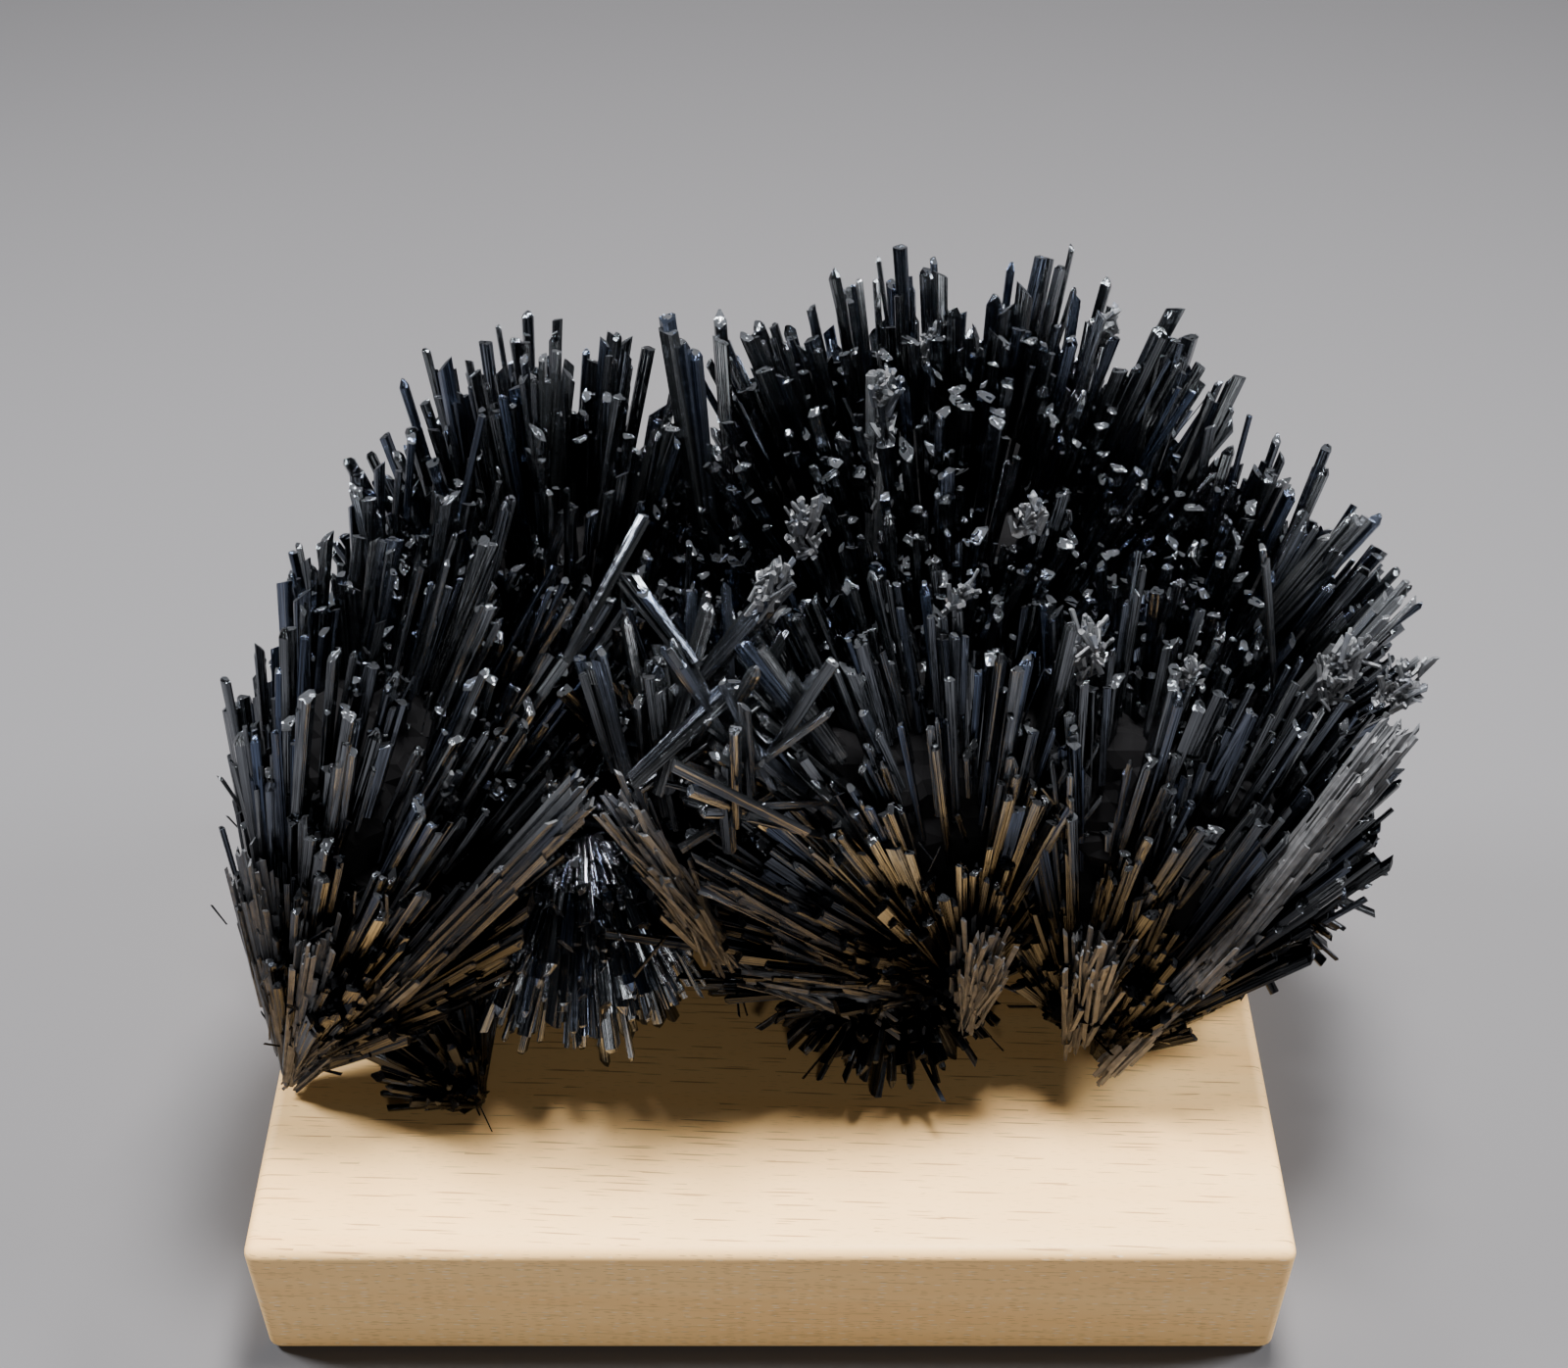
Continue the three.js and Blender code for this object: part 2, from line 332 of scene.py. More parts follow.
def crystal_shape(name, sides, flatness, rings, seed):
    """A prism with uneven sides. Each ring's lean tilts it, so that ends slant."""
    corner = []
    for k in range(sides):
        angle = (k + 0.32 * math.sin(2.7 * k + seed)) * math.tau / sides
        corner.append((angle, 1 + 0.13 * math.sin(5.1 * k + 2 * seed)))
    points, ends = [], []
    for ring in rings:
        for angle, reach in corner:
            x = ring.size * reach * math.cos(angle)
            y = ring.size * reach * flatness * math.sin(angle)
            points.append((x, y, ring.lift + ring.lean * x))
            ends.append(ring.end)
    faces = [list(range(sides))[::-1]]
    for r in range(len(rings) - 1):
        low, high = r * sides, (r + 1) * sides
        for k in range(sides):
            following = (k + 1) % sides
            faces.append([low + k, low + following, high + following, high + k])
    faces.append([(len(rings) - 1) * sides + k for k in range(sides)])
    mesh = bpy.data.meshes.new(name)
    mesh.from_pydata(points, [], faces)
    mesh.attributes.new("end", "FLOAT", "POINT").data.foreach_set("value", ends)
    strip = mesh.uv_layers.new(name="strip")
    for face in mesh.polygons:
        for loop in face.loop_indices:
            vertex = mesh.loops[loop].vertex_index
            around = (vertex % sides) / sides
            closes = len(face.vertices) == 4 and sides - 1 in [v % sides for v in face.vertices]
            if around == 0 and closes:
                around = 1.0
            along = (vertex // sides) / (len(rings) - 1)
            strip.data[loop].uv = (around, along)
    return bpy.data.objects.new(name, mesh)


STOUT_RINGS = {
    "slanted": [Ring(0, 0, 0.84, 0), Ring(1, -0.6, 1, 0.55)],
    "steep": [Ring(0, 0, 0.8, 0), Ring(1, -0.8, 0.96, -0.95)],
    "blunt": [Ring(0, 0, 0.8, 0), Ring(1, -0.6, 1, 0.15), Ring(1, -0.1, 0.6, 0.35)],
    "chisel": [Ring(0, 0, 0.8, 0), Ring(1, -1.1, 1, 0.1), Ring(1, 0, 0.4, 0.5)],
    "square": [Ring(0, 0, 0.88, 0), Ring(1, -0.2, 0.96, -0.12)],
    "flat_cut": [Ring(0, 0, 0.82, 0), Ring(1, -0.3, 1, 0.25)],
}
MIDDLING_RINGS = {
    "middling_cut": [Ring(0, 0, 0.8, 0), Ring(1, -0.6, 1, 0.7)],
    "middling_square": [Ring(0, 0, 0.85, 0), Ring(1, -0.2, 1, -0.2)],
    "middling_blade": [Ring(0, 0, 0.8, 0), Ring(1, -0.8, 1, -1.1)],
}
NEEDLE_RINGS = {
    "needle_cut": [Ring(0, 0, 0.75, 0), Ring(1, -0.6, 1, 0.9)],
    "needle_square": [Ring(0, 0, 0.8, 0), Ring(1, -0.3, 1, 0.3)],
    "needle_blade": [Ring(0, 0, 0.8, 0), Ring(1, -0.9, 1, -1.5)],
}


def shape_set(name, rings_by_name, sides, flatness):
    """The shapes of one kind, in a collection that stays out of the scene."""
    kept = bpy.data.collections.new(name)
    for place, (shape, rings) in enumerate(sorted(rings_by_name.items())):
        kept.objects.link(crystal_shape(shape, sides, flatness + 0.06 * (place % 3), rings, place + 1))
    return kept


stout_shapes = shape_set("stout_crystals", STOUT_RINGS, 7, 0.68)
middling_shapes = shape_set("middling_crystals", MIDDLING_RINGS, 6, 0.66)
needle_shapes = shape_set("needle_crystals", NEEDLE_RINGS, 4, 0.7)

# %% [markdown]
# ## Planting crystals
# A node group plants one crystal on each point of a cloud. It is told where the crystal starts and ends and
# how thick it is, picks a shape at random, turns it along its line and spins it. Only after the copies are
# realized are their far ends carried out to the tip, which keeps every end in proportion.
# Each crystal also gets its own cell in a map named OFBake, so that a baked texture has room for all of them.

# %% Planting group
def new_group(name, inputs):
    """An empty geometry tree with named inputs and one geometry output, and its two end nodes."""
    tree = bpy.data.node_groups.new(name, "GeometryNodeTree")
    for label, kind in inputs:
        tree.interface.new_socket(label, in_out="INPUT", socket_type="NodeSocket" + kind)
    tree.interface.new_socket("Geometry", in_out="OUTPUT", socket_type="NodeSocketGeometry")
    return tree, tree.nodes.new("NodeGroupInput").outputs, tree.nodes.new("NodeGroupOutput").inputs


def stored(tree, geometry, name, value, kind="FLOAT", domain="POINT"):
    """Writes a named attribute."""
    feeds = {"Geometry": geometry, "Name": name, "Value": value}
    made = add_node(tree, "GeometryNodeStoreNamedAttribute", feeds, data_type=kind, domain=domain)
    return made.outputs[0]


def named(tree, name, kind="FLOAT"):
    """Reads a named attribute."""
    made = add_node(tree, "GeometryNodeInputNamedAttribute", {"Name": name}, data_type=kind)
    return live(made.outputs, "Attribute")


def chance(tree, low, high, seed, kind="FLOAT"):
    """A random value for each point."""
    feeds = {"Min": low, "Max": high, "Seed": seed}
    made = add_node(tree, "FunctionNodeRandomValue", feeds, data_type=kind)
    return live(made.outputs, "Value")


def moved(tree, geometry, **feeds):
    """Sets the geometry's position, or shifts it by an offset."""
    return add_node(tree, "GeometryNodeSetPosition", {"Geometry": geometry, **feeds}).outputs[0]


def kept_inside(tree, sums, given, geometry):
    """Holds the geometry between the two corners of the spray's box."""
    place = add_node(tree, "GeometryNodeInputPosition").outputs[0]
    place = sums.vector("MAXIMUM", place, given["Lowest corner"])
    place = sums.vector("MINIMUM", place, given["Highest corner"])
    return moved(tree, geometry, Position=place)


def without(tree, geometry, *names):
    """Removes attributes that have done their work."""
    for name in names:
        feeds = {"Geometry": geometry, "Name": name}
        geometry = add_node(tree, "GeometryNodeRemoveAttribute", feeds).outputs[0]
    return geometry


def with_material(tree, given, geometry):
    feeds = {"Geometry": geometry, "Material": given["Material"]}
    return add_node(tree, "GeometryNodeSetMaterial", feeds).outputs[0]


def along_z(tree, vector):
    """The rotation that turns the Z axis to a vector."""
    return add_node(tree, "FunctionNodeAlignRotationToVector", {"Vector": vector}, axis="Z").outputs[0]


# What every group passes on to the planting group as it is.
SHARED_INPUTS = [
    ("Dull", "Float"), ("Rust", "Float"), ("Seed", "Int"), ("First cell", "Int"), ("Cells a side", "Int"),
    ("Lowest corner", "Vector"), ("Highest corner", "Vector"),
    ("Shapes", "Collection"), ("Material", "Material"),
]
PLANTING_INPUTS = [
    ("Geometry", "Geometry"), ("Start", "Vector"), ("Tip", "Vector"), ("Thickness", "Float"),
    ("Near", "Float"), ("Far", "Float"), *SHARED_INPUTS,
]
SHAPE_PICKS = 60  # a random whole number up to this picks the shape, by its remainder
CELL_FILLED = (0.9, 0.9, 0)  # share of its cell in the map that a crystal fills


def planting_group():
    tree, given, result = new_group("Plant crystals", PLANTING_INPUTS)
    sums = Sums(tree)
    seeds = [sums.plus(given["Seed"], k) for k in (101, 102, 103)]
    index = add_node(tree, "GeometryNodeInputIndex").outputs[0]
    number = sums.plus(index, given["First cell"])
    side = given["Cells a side"]
    row = sums.number("FLOOR", sums.number("DIVIDE", number, side))
    cell = sums.joined(sums.number("MODULO", number, side), row, 0.0)
    reach = sums.vector("SUBTRACT", given["Tip"], given["Start"])

    points = given["Geometry"]
    for name, value, kind in (
        ("reach", reach, "FLOAT_VECTOR"), ("cell", cell, "FLOAT_VECTOR"),
        ("near", given["Near"], "FLOAT"), ("far", given["Far"], "FLOAT"),
        ("dull", given["Dull"], "FLOAT"), ("rust", given["Rust"], "FLOAT"),
        ("tone", chance(tree, 0.0, 1.0, seeds[0]), "FLOAT"),
        ("thick", given["Thickness"], "FLOAT"), ("start", given["Start"], "FLOAT_VECTOR"),
    ):
        points = stored(tree, points, name, value, kind)
    points = moved(tree, points, Position=named(tree, "start", "FLOAT_VECTOR"))

    spin = {"Axis": (0, 0, 1), "Angle": chance(tree, 0.0, math.tau, seeds[1])}
    spin = add_node(tree, "FunctionNodeAxisAngleToRotation", spin).outputs[0]
    turned = {"Rotation": along_z(tree, named(tree, "reach", "FLOAT_VECTOR")), "Rotate By": spin}
    turned = add_node(tree, "FunctionNodeRotateRotation", turned, rotation_space="LOCAL").outputs[0]
    shapes = {"Collection": given["Shapes"], "Separate Children": True, "Reset Children": True}
    shapes = add_node(tree, "GeometryNodeCollectionInfo", shapes).outputs[0]
    copies = add_node(
        tree, "GeometryNodeInstanceOnPoints",
        {"Points": points, "Instance": shapes, "Pick Instance": True,
         "Instance Index": chance(tree, 0, SHAPE_PICKS, seeds[2], "INT"),
         "Rotation": turned, "Scale": named(tree, "thick")},
    ).outputs[0]
    grown = add_node(tree, "GeometryNodeRealizeInstances", {"Geometry": copies}).outputs[0]

    end = named(tree, "end")
    carried = sums.scaled(named(tree, "reach", "FLOAT_VECTOR"), end)
    grown = kept_inside(tree, sums, given, moved(tree, grown, Offset=carried))
    grown = stored(tree, grown, "away", sums.between(named(tree, "near"), named(tree, "far"), end))

    patch = sums.vector("MULTIPLY", named(tree, "strip", "FLOAT_VECTOR"), CELL_FILLED)
    patch = sums.vector("ADD", named(tree, "cell", "FLOAT_VECTOR"), patch)
    patch = sums.vector("DIVIDE", patch, sums.joined(side, side, 1.0))
    grown = stored(tree, grown, "OFBake", patch, "FLOAT2", "CORNER")
    grown = without(tree, grown, "reach", "cell", "near", "far", "thick", "start", "end")
    tree.links.new(with_material(tree, given, grown), result[0])
    return tree


planting = planting_group()
print("group:", planting.name, len(planting.nodes), "nodes")

# %% [markdown]
# ## A fan of crystals
# In a fan, every crystal points away from one root and stops near a rounded outer surface, like quills.
# That is a rule, so Geometry Nodes fit it: directions are spread over a cone by the golden angle, and the
# distance to an ellipsoid, the fan's lobe, comes from the usual line-and-ellipsoid sum.
# Real crystals grow in small parallel bundles, so each direction is used by several crystals side by side.

# %% Fan group
FAN_INPUTS = [
    ("Geometry", "Geometry"), ("Root", "Vector"), ("Lobe centre", "Vector"), ("Lobe radii", "Vector"),
    ("Axis", "Vector"), ("Open to", "Vector"), ("Inner angle", "Float"), ("Outer angle", "Float"),
    ("Bundles", "Int"), ("Per bundle", "Int"), ("Bundle width", "Float"),
    ("End from", "Float"), ("End to", "Float"), ("Shortest", "Float"), ("Longest", "Float"),
    ("Thinnest", "Float"), ("Thickest", "Float"), ("Stray", "Float"), ("Lumpiness", "Float"),
    *SHARED_INPUTS,
]
GOLDEN_ANGLE = math.pi * (3 - math.sqrt(5))
BUNDLE_STEPS = 0.13  # how unequal the crystals of one bundle are, as a share of their reach
HIDDEN_PAST = -0.05  # a direction this far against "Open to" faces into the spray
TINY = 0.001  # keeps a sum from dividing by nothing
EVERY_WAY = (-1, -1, -1), (1, 1, 1)  # the limits of a random sideways step


def cone_direction(tree, given, sums, seeds):
    """A direction for each point, between the inner and the outer angle from the axis."""
    index = add_node(tree, "GeometryNodeInputIndex").outputs[0]
    share = sums.number("DIVIDE", sums.plus(index, chance(tree, 0.0, 1.0, seeds[0])), given["Bundles"])
    inner, outer = (sums.number("COSINE", given[name]) for name in ("Inner angle", "Outer angle"))
    level = sums.between(inner, outer, share)
    flat = sums.number("SQRT", sums.number("MAXIMUM", sums.minus(1.0, sums.times(level, level)), 0.0))
    bearing = sums.number("MULTIPLY_ADD", index, GOLDEN_ANGLE, chance(tree, 0.0, 0.9, seeds[1]))
    x, y = (sums.times(flat, sums.number(kind, bearing)) for kind in ("COSINE", "SINE"))
    feeds = {"Vector": sums.joined(x, y, level), "Rotation": along_z(tree, given["Axis"])}
    return add_node(tree, "FunctionNodeRotateVector", feeds).outputs[0]


def distance_to_lobe(given, sums, direction):
    """How far the lobe's surface is from the root in a direction."""
    start = sums.vector("SUBTRACT", given["Root"], given["Lobe centre"])
    start = sums.vector("DIVIDE", start, given["Lobe radii"])
    step = sums.vector("DIVIDE", direction, given["Lobe radii"])
    a = sums.vector("DOT_PRODUCT", step, step)
    b = sums.vector("DOT_PRODUCT", start, step)
    c = sums.minus(sums.vector("DOT_PRODUCT", start, start), 1.0)
    inside = sums.number("MAXIMUM", sums.minus(sums.times(b, b), sums.times(a, c)), 0.0)
    return sums.number("DIVIDE", sums.minus(sums.number("SQRT", inside), b), a)


def distance_to_box(given, sums, direction):
    """How far the sides of the spray's box are from the root in a direction."""
    smallest = (TINY, TINY, TINY)
    ahead = sums.vector("SUBTRACT", given["Highest corner"], given["Root"])
    ahead = sums.vector("DIVIDE", ahead, sums.vector("MAXIMUM", direction, smallest))
    behind = sums.vector("SUBTRACT", given["Root"], given["Lowest corner"])
    backwards = sums.vector("MAXIMUM", sums.scaled(direction, -1.0), smallest)
    behind = sums.vector("DIVIDE", behind, backwards)
    x, y, z = sums.split(sums.vector("MINIMUM", ahead, behind))
    return sums.number("MINIMUM", sums.number("MINIMUM", x, y), z)


def plant_on(tree, given, cloud, start, tip, thickness, near, far):
    """Plants a crystal on each point of a cloud, with what the group was given for the rest."""
    planted = add_node(tree, "GeometryNodeGroup", node_tree=planting)
    feeds = {"Geometry": cloud, "Start": start, "Tip": tip, "Thickness": thickness, "Near": near, "Far": far}
    for name, _ in SHARED_INPUTS:
        feeds[name] = given[name]
    for name, value in feeds.items():
        tree.links.new(value, planted.inputs[name])
    return planted.outputs[0]


def fan_group():
    tree, given, result = new_group("Crystal fan", FAN_INPUTS)
    sums = Sums(tree)
    seeds = [sums.plus(given["Seed"], float(k)) for k in range(8)]

    # One point for each bundle, with its direction and how far its lobe is that way.
    cloud = add_node(tree, "GeometryNodePoints", {0: given["Bundles"]}).outputs[0]
    direction = cone_direction(tree, given, sums, seeds)
    lumps = noise_of(tree, sums.vector("ADD", direction, sums.joined(seeds[0], 0.0, 0.0)), 3.2, 2.0)
    hollow = sums.times(given["Lumpiness"], sums.clamped_map(lumps, 0.3, 0.7, 1.0, 0.0))
    reach = sums.times(distance_to_lobe(given, sums, direction), sums.minus(1.0, hollow))
    reach = sums.number("MINIMUM", reach, distance_to_box(given, sums, direction))
    tall = sums.between(given["End from"], given["End to"], chance(tree, 0.0, 1.0, seeds[7]))
    cloud = stored(tree, cloud, "heading", direction, "FLOAT_VECTOR")
    cloud = stored(tree, cloud, "lobe_at", reach)
    cloud = stored(tree, cloud, "tall", tall)

    # Bundles that face into the spray are left out, and the others become several crystals.
    outward = sums.vector("SUBTRACT", direction, given["Axis"])
    hidden = sums.number("LESS_THAN", sums.vector("DOT_PRODUCT", outward, given["Open to"]), HIDDEN_PAST)
    cloud = {"Geometry": cloud, "Selection": hidden}
    cloud = {"Geometry": add_node(tree, "GeometryNodeDeleteGeometry", cloud).outputs[0],
             "Amount": given["Per bundle"]}
    cloud = add_node(tree, "GeometryNodeDuplicateElements", cloud, domain="POINT").outputs[0]

    heading, lobe_at = named(tree, "heading", "FLOAT_VECTOR"), named(tree, "lobe_at")
    stepped = sums.between(1.0 - BUNDLE_STEPS, 1.0, chance(tree, 0.0, 1.0, seeds[2]))
    far = sums.times(named(tree, "tall"), stepped)
    length = sums.between(given["Shortest"], given["Longest"], chance(tree, 0.0, 1.0, seeds[3]))
    share = sums.number("DIVIDE", length, sums.number("MAXIMUM", lobe_at, TINY))
    near = sums.number("MAXIMUM", sums.minus(far, share), 0.02)
    near = sums.number("MINIMUM", near, sums.times(far, 0.9))
    sideways = sums.scaled(chance(tree, *EVERY_WAY, seeds[4], "FLOAT_VECTOR"), given["Bundle width"])
    strayed = chance(tree, *EVERY_WAY, seeds[5], "FLOAT_VECTOR")
    strayed = sums.scaled(strayed, sums.times(given["Stray"], length))

    def place(share):
        """A point on the crystal's line, at a share of the way to the lobe."""
        out = sums.scaled(heading, sums.times(share, lobe_at))
        beside = sums.scaled(sideways, sums.number("MULTIPLY_ADD", share, 0.8, 0.2))
        return sums.vector("ADD", sums.vector("ADD", given["Root"], out), beside)

    uneven = sums.number("POWER", chance(tree, 0.0, 1.0, seeds[6]), 1.8)
    thickness = sums.between(given["Thinnest"], given["Thickest"], uneven)
    tip = sums.vector("ADD", place(far), strayed)
    planted = plant_on(tree, given, cloud, place(near), tip, thickness, near, far)
    both = joined_geometry(tree, planted, given["Geometry"])
    tree.links.new(without(tree, both, "heading", "lobe_at", "tall"), result[0])
    return tree


fan = fan_group()
print("group:", fan.name, len(fan.nodes), "nodes")

# %% [markdown]
# ## The fans of this specimen
# Each row gives a fan's root, the ellipsoid that its tips reach and the cone that it fills, in millimetres from
# the centre of the block's underside and in degrees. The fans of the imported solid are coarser, and these keep
# inside its box. Every fan is planted in layers: a crown of stout crystals, shorter ones beneath it, spokes and
# thin needles along the flanks, where the fan is seen from the side, short needles at the root, and splinters
# that lie every way. The last vector says to which side the flanks are open, because needles that nobody can
# see would only cost time.

# %% Table of fans
# crown and flank are how densely those crystals stand, and stray and rust are from 0 to 1.
FAN_COLUMNS = "name root lobe radii axis spread crown flank stray rust open_to"
Fan = namedtuple("Fan", FAN_COLUMNS, defaults=[(0, 0, 0)])
FANS = [
    # The front, where the fans are seen from the side.
    Fan("left_front", (-53, -18, 20.5), (-35.5, -6, 55), (19.5, 18, 39),
        (0.55, 0.24, 1), 30, 1.0, 1.9, 0.05, 0.7, (-0.6, -1, 0)),
    Fan("left_inner", (-45, -6, 22), (-30.5, 2, 56), (23, 16, 37),
        (0.2, 0.1, 1), 34, 1.1, 0.5, 0.06, 0.3, (-1, -0.3, 0)),
    Fan("middle", (21, -14, 30), (10, -5, 56), (27, 16, 35),
        (-0.12, 0.1, 1), 52, 0.8, 1.2, 0.05, 0.25, (0, -1, 0)),
    Fan("middle_left", (20, -14, 31), (2, -12, 46), (21, 9, 21),
        (-1, -0.1, 0.5), 36, 0.8, 1.3, 0.07, 0.5, (0, -1, -0.5)),
    Fan("right_inner", (33, -16, 27), (36, -3, 56), (16, 16, 31),
        (0.1, 0.2, 1), 38, 0.8, 1.1, 0.05, 0.25, (0, -1, 0)),
    Fan("right_front", (36, -17, 22.5), (48, -5, 49), (19, 14, 30),
        (0.42, 0.25, 1), 30, 0.9, 1.5, 0.05, 0.35, (0.6, -1, -0.3)),
    # The rolling top, where the tips point up.
    Fan("left_top", (-24, 6, 26), (-24, 17, 62), (24, 23, 39),
        (0, 0.2, 1), 42, 1.0, 0.4, 0.06, 0.1, (-0.3, 1, 0)),
    Fan("centre", (-7, 0, 36), (-6, 0, 58), (17, 15, 24), (0, -0.1, 1), 75, 0.6, 0.4, 0.3, 0.1),
    Fan("top", (19, 10, 34), (19, 20, 66), (37, 25, 39), (0, 0.15, 1), 64, 0.95, 0.15, 0.06, 0.1),
    Fan("top_front", (17, 0, 36), (15, 2, 64), (22, 13, 31),
        (0, -0.05, 1), 48, 0.8, 0.3, 0.07, 0.1),
    Fan("right_top", (38, 3, 30), (45, 10, 60), (26, 21, 30),
        (0.25, 0.15, 1), 66, 0.95, 0.25, 0.07, 0.1, (1, 0.5, 0)),
    # Small fans that hang or stand on the block.
    Fan("left_foot", (-32, -21.5, 20.5), (-36, -14, 26), (12, 10, 8),
        (-0.5, 0.35, 0.6), 50, 0.5, 0.9, 0.1, 0.6, (-0.5, -1, 0)),
    Fan("left_skirt", (-20, -5, 52), (-21, -11, 32), (15, 11, 18),
        (-0.05, -0.42, -1), 46, 1.4, 1.6, 0.08, 0.1, (0, -1, 0)),
    Fan("middle_foot", (14, -10, 34), (13, -13, 27), (14, 9, 10),
        (-0.1, -0.3, -1), 66, 1.0, 1.2, 0.2, 1.0, (0, -1, 0)),
    Fan("right_hang", (46, -3, 43), (53, -2, 37), (14, 12, 16),
        (0.8, -0.25, -0.5), 62, 1.9, 0.4, 0.12, 0.4),
    # The back, which rests on short crystals.
    Fan("back_left", (-25, 12, 38), (-27, 22, 44), (27, 18, 26),
        (-0.1, 1, 0.1), 78, 0.7, 0.2, 0.1, 0.2),
    Fan("back_right", (25, 14, 40), (25, 23, 46), (32, 18, 28),
        (0.1, 1, 0), 78, 0.7, 0.2, 0.1, 0.2),
    Fan("under_middle", (0, 10, 38), (0, 8, 30), (24, 15, 9),
        (0, -0.1, -1), 80, 0.35, 0.1, 0.2, 0.4),
]
print(len(FANS), "fans")

# %% Table of layers
# inner and outer are shares of the fan's spread, ends are shares of the way to its lobe, and the others are mm.
Layer = namedtuple("Layer", "name inner outer bundles per width ends lengths thick stray lumpy shapes")
LAYERS = [
    Layer("crown", 0.0, 1.0, 0.85, 4, 1.7, (0.9, 1.03), (9, 24), (0.4, 1.05), 1.0, 0.13, stout_shapes),
    Layer("understory", 0.0, 1.0, 0.34, 3, 2.0, (0.55, 0.88), (7, 15), (0.4, 0.95), 2.2, 0.1,
          middling_shapes),
    Layer("spokes", 0.7, 1.02, 0.5, 3, 1.1, (0.55, 0.98), (14, 32), (0.3, 0.85), 0.7, 0.08,
          middling_shapes),
    Layer("flank", 0.78, 1.03, 1.6, 9, 1.3, (0.2, 0.85), (7, 22), (0.2, 0.46), 0.5, 0.1, needle_shapes),
    Layer("root", 0.55, 1.03, 0.45, 9, 1.6, (0.1, 0.4), (6, 16), (0.2, 0.46), 0.6, 0.1, needle_shapes),
    Layer("splinters", 0.2, 1.06, 0.35, 5, 3.0, (0.25, 0.98), (2, 6), (0.12, 0.34), 9.0, 0.1, needle_shapes),
]
ALL_ROUND_LAYERS = ("crown", "understory")
FLANK_LAYERS = ("spokes", "flank", "root")
BUNDLE_PITCH = 4.6  # mm between neighbouring bundles of a crown
print(len(LAYERS), "layers:", [layer.name for layer in LAYERS])

# %% [markdown]
# ## From modifiers to plain meshes
# Each layer of a fan is one modifier, and each adds its crystals to what the ones before it made. When all are
# in place the result is turned into the piece's own mesh, because the finished model holds no live modifiers.
# How many bundles a layer gets follows from the area that its fan's tips cover, so large and small fans are
# equally dense.

# %% Pieces and their modifiers

def lobe_area(row):
    """About how many square millimetres of outer surface the fan's tips cover."""
    away = (Vector(row.lobe) - Vector(row.root)).length + sum(row.radii) / 3
    return math.tau * (1 - math.cos(math.radians(row.spread))) * away**2


def input_names(tree):
    """The identifier of each named input of a group."""
    items = tree.interface.items_tree
    return {item.name: item.identifier for item in items if item.in_out == "INPUT"}


def add_layer(piece, tree, values):
    """A modifier with its inputs set by identifier."""
    modifier = piece.modifiers.new(tree.name, "NODES")
    modifier.node_group = tree
    identifiers = input_names(tree)
    for name, value in values.items():
        modifier[identifiers[name]] = value
    return modifier


def solid_mesh(piece):
    """Turns what the modifiers made into the piece's own plain mesh."""
    evaluated = piece.evaluated_get(bpy.context.evaluated_depsgraph_get())
    made = bpy.data.meshes.new_from_object(evaluated)
    piece.modifiers.clear()
    piece.data = made
    made.name = piece.name
    return len(made.polygons)


def empty_piece(name):
    piece = bpy.data.objects.new(name, bpy.data.meshes.new(name))
    bpy.context.scene.collection.objects.link(piece)
    return piece


def shared_values(rust, seed, first_cell, side, shapes, dull=0.0):
    """The values of the shared inputs."""
    return {
        "Dull": dull, "Rust": rust, "Seed": seed, "First cell": first_cell, "Cells a side": side,
        "Lowest corner": spray_low, "Highest corner": spray_high,
        "Shapes": shapes, "Material": stibnite,
    }


def layer_values(row, layer, bundles, seed, first_cell, side):
    spread = math.radians(row.spread)
    return {
        "Root": at(*row.root), "Lobe centre": at(*row.lobe), "Lobe radii": Vector(row.radii) * MM,
        "Axis": Vector(row.axis).normalized(),
        "Open to": Vector((0, 0, 0) if layer.name in ALL_ROUND_LAYERS else row.open_to),
        "Inner angle": spread * layer.inner, "Outer angle": spread * layer.outer,
        "Bundles": bundles, "Per bundle": layer.per, "Bundle width": layer.width * MM,
        "End from": layer.ends[0], "End to": layer.ends[1],
        "Shortest": layer.lengths[0] * MM, "Longest": layer.lengths[1] * MM,
        "Thinnest": layer.thick[0] * MM, "Thickest": layer.thick[1] * MM,
        "Stray": layer.stray * row.stray, "Lumpiness": layer.lumpy,
        **shared_values(row.rust, seed, first_cell, side, layer.shapes),
    }


# %% [markdown]
# ## The dark heart
# Between the crystals one looks into black gaps, not through the specimen: deeper down they are grown together.
# The heart's near-black, matt colour is painted shade for those gaps.
# A modelled lump would show as a ball, so the heart takes the fans' own shape: a cloud of points fills the
# inner part of each cone, and the cloud is melted into one closed skin by way of a volume.

# %% Heart group
CLOUD_INPUTS = [
    ("Geometry", "Geometry"), ("Root", "Vector"), ("Lobe centre", "Vector"), ("Lobe radii", "Vector"),
    ("Axis", "Vector"), ("Inner angle", "Float"), ("Outer angle", "Float"),
    ("Bundles", "Int"), ("Reach", "Float"), ("Seed", "Int"),
]
HEART_FROM = 0.3  # share of its reach where the heart starts, counted from the root
SMALLEST_DROP = 0.25  # the points near a root are smaller, so that the heart narrows with its fan


